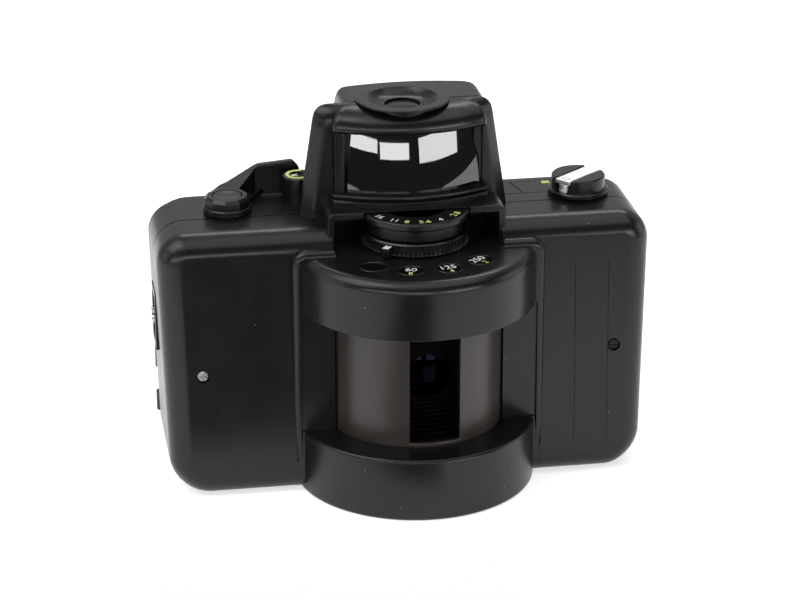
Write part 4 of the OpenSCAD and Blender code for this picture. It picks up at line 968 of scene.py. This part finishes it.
# Bubble level: a small round vial of dark fluid under a domed glass.
# A dished bezel of black ABS holds it, pressed into a seat in the hump's top.
bezel = turned("level_dish", [(5.3, 110.0), (LEVEL_R - 3.4, 110.0), (LEVEL_R - 3.4, 113.5),
                              (LEVEL_R - 0.4, 113.5)]
               + arc((LEVEL_R - 0.4, 113.9), 0.4, -90, 90, 6)
               + [(LEVEL_R - 2.6, LEVEL_TOP)] + arc((LEVEL_R - 3.2, LEVEL_TOP - 0.5), 0.5, 80, 150, 4)
               + [(9.0, 112.9), (7.4, 112.2), (6.3, 112.0), (5.9, 112.3), (5.3, 112.3)], LEVEL_AT, steps=96)
smoothed(bezel, 30)
fitted(bezel, ABS_BLACK, "body", "black_body", "level_bezel")
# Dark fluid under polished glass: smooth, with one small sharp highlight.
VIAL_FLUID = moulded("level_fluid_under_glass", "#11140f", 0.1, 1.3, 0, grain=0)
vial = turned("level_vial_dome", [(0, 110.2), (5.25, 110.2), (5.25, 111.6), (4.2, 111.95), (2.6, 112.15),
                                  (0, 112.22)], LEVEL_AT, steps=64)
smoothed(vial, 40)
fitted(vial, VIAL_FLUID, "body", "clear_glass", "level_vial")

# Eyepiece: a ring round the finder's rear lens, pushed onto the hump's rear.
# Soft moulded black rubber, dull and a little dusty.
RUBBER = moulded("moulded_black_rubber", "#151515", 0.75, dust=0.4, grain_mm=0.3, grain=0.2)
eyecup = turned("eyecup", [(7.7, 0)] + arc((9.7, 0.8), 0.8, -90, 0, 3) + arc((9.3, 3.3), 1.2, 0, 90, 5)
                + arc((8.5, 3.7), 0.8, 90, 180, 3), steps=72)
eyecup.data.transform(Matrix.Translation(Vector((HUMP_X, 28.2, FINDER_Z)) * MM)
                      @ Matrix.Rotation(math.radians(-90), 4, "X"))
smoothed(eyecup, 30)
fitted(eyecup, RUBBER, "body", "black_rubber", "eyepiece_ring")


# Winding lever: a ring round the hub with an arm that climbs to an upright thumb blade behind.
# Polished black ABS; the ten-sided hub holds the dished shutter button.
wind = axis_of("lever_wind").xy
HUB_BORE = 4.2
lever = turned("lever_ring", [(HUB_BORE, 80.5), (7.1, 80.5), (7.1, 81.9), (6.8, 82.2), (HUB_BORE, 82.2)], wind,
               steps=64)
BLADE = ((-53.6, 80.35), (-31.0, 80.35), (-29.9, 88.1), (-32.0, 90.5), (-42.4, 89.6), (-51.0, 84.6),
         (-53.6, 82.6))
blade = stacked("thumb_blade", [[(x, y, z) for x, z in BLADE] for y in (28.9, 31.3)])
rounded(blade, lambda a, b: a.z > 82.3 and b.z > 82.3, 0.7, 3)
ARM = ((-57.5, 19), (-49.5, 15), (-40.5, 29.5), (-53.6, 31.2))
arm = stacked("lever_arm", [[(x, y, z) for x, y in ARM] for z in (80.55, 82.15)])
RAMP = ((-59.2, 20.4, 82.3), (-57.4, 24.5, 83.2), (-53.9, 29.6, 83.7), (-50.9, 31.0, 84.3),
        (-43.2, 31.2, 89.0), (-43.0, 29.2, 88.8), (-48.5, 24.0, 84.4), (-50.6, 21.4, 82.6))
ramp = stacked("lever_ramp", [[(x, y, 80.7) for x, y, z in RAMP], RAMP])
weld(lever, arm, ramp, blade)
cut(lever, rod("hub_bore", wind, HUB_BORE, 70, 90))
eased(lever, 0.2)
smoothed(lever)
fitted(lever, GLOSS_BLACK, "lever", "gloss_black", "advance_lever")


def sided(radius, count, z, centre, start):
    """Regular many-sided outline at one height."""
    turns = [2 * math.pi * (i / count) + math.radians(start) for i in range(count)]
    return [(centre.x + radius * math.cos(t), centre.y + radius * math.sin(t), z) for t in turns]


HUB_SIDES, HUB_TURN = 10, 8
HUB = ((6.9, 82.2), (6.9, 84.3), (6.0, 85.3))
hub = stacked("lever_hub_facets", [sided(r, HUB_SIDES, z, wind, HUB_TURN) for r, z in HUB])
cut(hub, rod("button_bore", wind, 4.5, 70, 90))
eased(hub, 0.15, 2, 20)
smoothed(hub, 15)
fitted(hub, GLOSS_BLACK, "lever", "gloss_black", "lever_hub")
button = turned("button_dish", [(0, 83.9), (4.4, 83.9), (4.4, 84.9), (4.1, 85.2), (3.7, 85.15), (2.4, 84.85),
                                (0, 84.7)], wind, steps=56)
smoothed(button, 40)
fitted(button, GLOSS_BLACK, "button", "gloss_black", "shutter_button")

# Frame counter: a small turret of polished black ABS by the hump, with the dial under its window.
# A ring and a pointer are pad printed on its top.
counter = axis_of("counter_turn").xy
turret = turned("counter_tower", [(3.5, 80), (4.9, 80), (4.9, 87.5), (4.7, 88.0), (4.3, 88.1), (3.1, 88.05),
                                  (2.8, 87.5), (3.5, 87.5)], counter, steps=56)
smoothed(turret, 30)
fitted(turret, GLOSS_BLACK, "body", "gloss_black", "counter_turret")
dial_ring = turned("counter_ring_print", [(2.9, 88.0), (3.9, 88.0), (3.9, 88.2), (2.9, 88.2)], counter,
                   start=70, sweep=320, steps=48)
smoothed(dial_ring, 30)
fitted(dial_ring, PRINT_YELLOW, "body", "dial_white")
lettering("counter_mark", "<", 4.2, (counter.x - 1.2, counter.y, 87.75), 0, PRINT_WHITE, "body", 0.3)

# Rewind: a knob of polished black ABS on a flange over the deck, pulled up to load the film.
# A folding crank of blasted alloy is let into its top, with a small reel-shaped grip under its end.
rewind = axis_of("rewind_turn").xy
CRANK_TURN = math.radians(220)
KNOB_R = 8.0
KNOB_LOW, KNOB_HIGH = 80.6, 86.0
KNOB_BORE = 2.4
CRANK_HALF = 5.4 / 2
FLANGE_TOP = 81.9
knob = turned("knob_body", [(KNOB_BORE, KNOB_LOW), (KNOB_R + 1, KNOB_LOW), (KNOB_R + 1, 81.5),
                            (KNOB_R + 0.6, FLANGE_TOP), (KNOB_R, FLANGE_TOP), (KNOB_R, KNOB_HIGH - 0.4),
                            (KNOB_R - 0.4, KNOB_HIGH), (KNOB_BORE, KNOB_HIGH)], rewind, steps=80)
on_knob = Matrix.Translation(Vector((rewind.x, rewind.y, 0)) * MM) @ Matrix.Rotation(CRANK_TURN, 4, "Z")


def seated(obj):
    """Moves a piece made along +X about the origin onto the knob, along its crank."""
    obj.data.transform(on_knob)
    return obj


# The hinge's slot is a little wider than the crank's, so that no two walls lie in one plane.
cut(knob, seated(block("crank_slot", (-20, -CRANK_HALF - 0.2, 84.2), (20, CRANK_HALF + 0.2, 90))),
    seated(block("hinge_slot", (-20, -CRANK_HALF - 0.35, 82.1), (-3.1, CRANK_HALF + 0.35, 90.5))),
    seated(block("grip_notch", (3.4, -2.2, FLANGE_TOP), (20, 2.2, 90))))
eased(knob, 0.15)
smoothed(knob)
fitted(knob, GLOSS_BLACK, "rewind", "gloss_black", "rewind_knob")


# Tool lines are drawn wider apart than the real ones, so that they show.
TOOL_LINE_MM = 0.3


def metal(name, colour, rough):
    """Machined metal: fine tool lines round the piece, in its polish and its relief."""
    finish, tree, skin, place = bare_finish(name)
    skin["Metallic"].default_value = 1.0
    skin["Base Color"].default_value = linear(colour)
    long = add_node(tree, "ShaderNodeMapping", [("Vector", place), ("Scale", (1, 1, 6))])
    lines = add_node(tree, "ShaderNodeTexNoise", [("Vector", long.outputs[0]),
                                                  ("Scale", 1 / (TOOL_LINE_MM * MM)), ("Detail", 3.0)])
    polish = add_node(tree, "ShaderNodeMapRange", [("Value", lines.outputs[0]), ("To Min", rough - 0.05),
                                                   ("To Max", rough + 0.06)])
    tree.links.new(polish.outputs[0], skin["Roughness"])
    bump = add_node(tree, "ShaderNodeBump", [("Height", lines.outputs[0]), ("Strength", 0.04),
                                             ("Distance", 0.02 * MM)])
    tree.links.new(bump.outputs[0], skin["Normal"])
    return finish


# Chrome with a soft mirror, and blasted alloy that looks nearly white.
CHROME = metal("satin_chrome", "#ececea", 0.22)
BLASTED = metal("blasted_alloy", "#f8f8f6", 0.5)
GRIP_AT = (6.0, 0)
RIVET_R = 0.8
crank = seated(block("crank_strip", (-7.4, -CRANK_HALF, 84.5), (7.8, CRANK_HALF, 85.8), 0.3, 2))
groove = turned("rivet_groove", [(RIVET_R, 85.4), (1.25, 85.4), (1.25, 87), (RIVET_R, 87)], GRIP_AT, steps=24)
cut(crank, seated(groove))
smoothed(crank)
fitted(crank, BLASTED, "crank", "bright_chrome", "rewind_crank")
GRIP_R, GRIP_WAIST = 1.95, 1.45
grip = seated(turned("crank_grip_reel", [(RIVET_R, 82.0), (GRIP_R, 82.0), (GRIP_R, 82.7), (GRIP_WAIST, 82.9),
                                         (GRIP_WAIST, 83.3), (GRIP_R, 83.5), (GRIP_R, 84.4), (RIVET_R, 84.4)],
                     GRIP_AT, steps=32))
smoothed(grip, 30)
fitted(grip, BLASTED, "grip", "plain_steel", "crank_grip")

# Front screws: two small cross-head screws, turned from steel, that hold the mouldings together.
# The left one is bright, and the right one is blackened.
SCREW_SINK = 1.0
# Turned steel with fine bright lines, and blackened steel that keeps only a dim sheen.
STEEL = metal("turned_steel", "#b9b9b4", 0.34)
DARK_STEEL = metal("blackened_steel", "#2c2c2c", 0.42)
for (x, z), finish, slot in zip(SCREW_PLACES, (STEEL, DARK_STEEL), ("plain_steel", "black_metal")):
    head = turned("wing_screw", [(0, 0), (1.6, 0), (1.6, 0.7), (1.25, 1.0), (0, 1.15)], steps=32)
    cut(head, block("cross_slot", (-1.1, -0.25, 0.6), (1.1, 0.25, 2)),
        block("cross_slot", (-0.25, -1.1, 0.6), (0.25, 1.1, 2)))
    head.data.transform(Matrix.Translation(Vector((x, wing_front(z) + SCREW_SINK, z)) * MM)
                        @ Matrix.Rotation(math.radians(90), 4, "X"))
    smoothed(head, 30)
    fitted(head, finish, "body", slot, "front_screws")

# Index mark: a dab of yellow-green ink on the deck by the rewind knob.
# It is pad printed, and stands a few hundredths of a millimetre proud.
dab = block("deck_mark", (43.4, 25.6, 79.9), (45.8, 27.8, 80.04))
fitted(dab, PRINT_YELLOW, "body", "dial_white")

# Works inside and small fittings: milled alloy, turned brass and steel, and black mouldings.
# Their solids have the right shapes as they are, so each only gets its own finish.
# Milled alloy reads as a soft grey, and turned brass as a warm yellow.
ALLOY = metal("milled_alloy", "#c2c4c2", 0.42)
BRASS = metal("turned_brass", "#c09a4a", 0.3)
DRESS = {
    ALLOY: ("lower_chassis", "upper_chassis", "governor_wheel", "sprocket_roller"),
    BRASS: ("drum_bushes", "drum_gear", "top_bushes", "tripod_bush"),
    CHROME: ("strap_lugs",),
    STEEL: ("base_screws", "door_hinge_pin", "drum_pivots", "drum_mainspring", "lever_spring",
            "button_spring", "release_spring", "lever_shaft", "rewind_sleeve", "rewind_fork",
            "guide_roller_left", "guide_roller_right"),
    DULL_BLACK: ("film_gate", "finder_tunnel", "window_hood", "lens_barrel", "slit_frame",
                 "slit_blade_left", "slit_blade_right", "diaphragm_left", "diaphragm_right",
                 "light_seals", "speed_marks"),
    GLOSS_BLACK: ("take_up_spool", "door_latch", "rewind_button", "pressure_plate"),
    ABS_BLACK: ("base_plate",),
    FINDER_GLASS: ("finder_lenses",),
    COATED_GLASS: ("lens_glass", "counter_window"),
    DARK_STEEL: ("counter_dial",),
}
for finish, names in DRESS.items():
    for name in names:
        for place in frame["nodes"][name].material_slots:
            place.material = finish
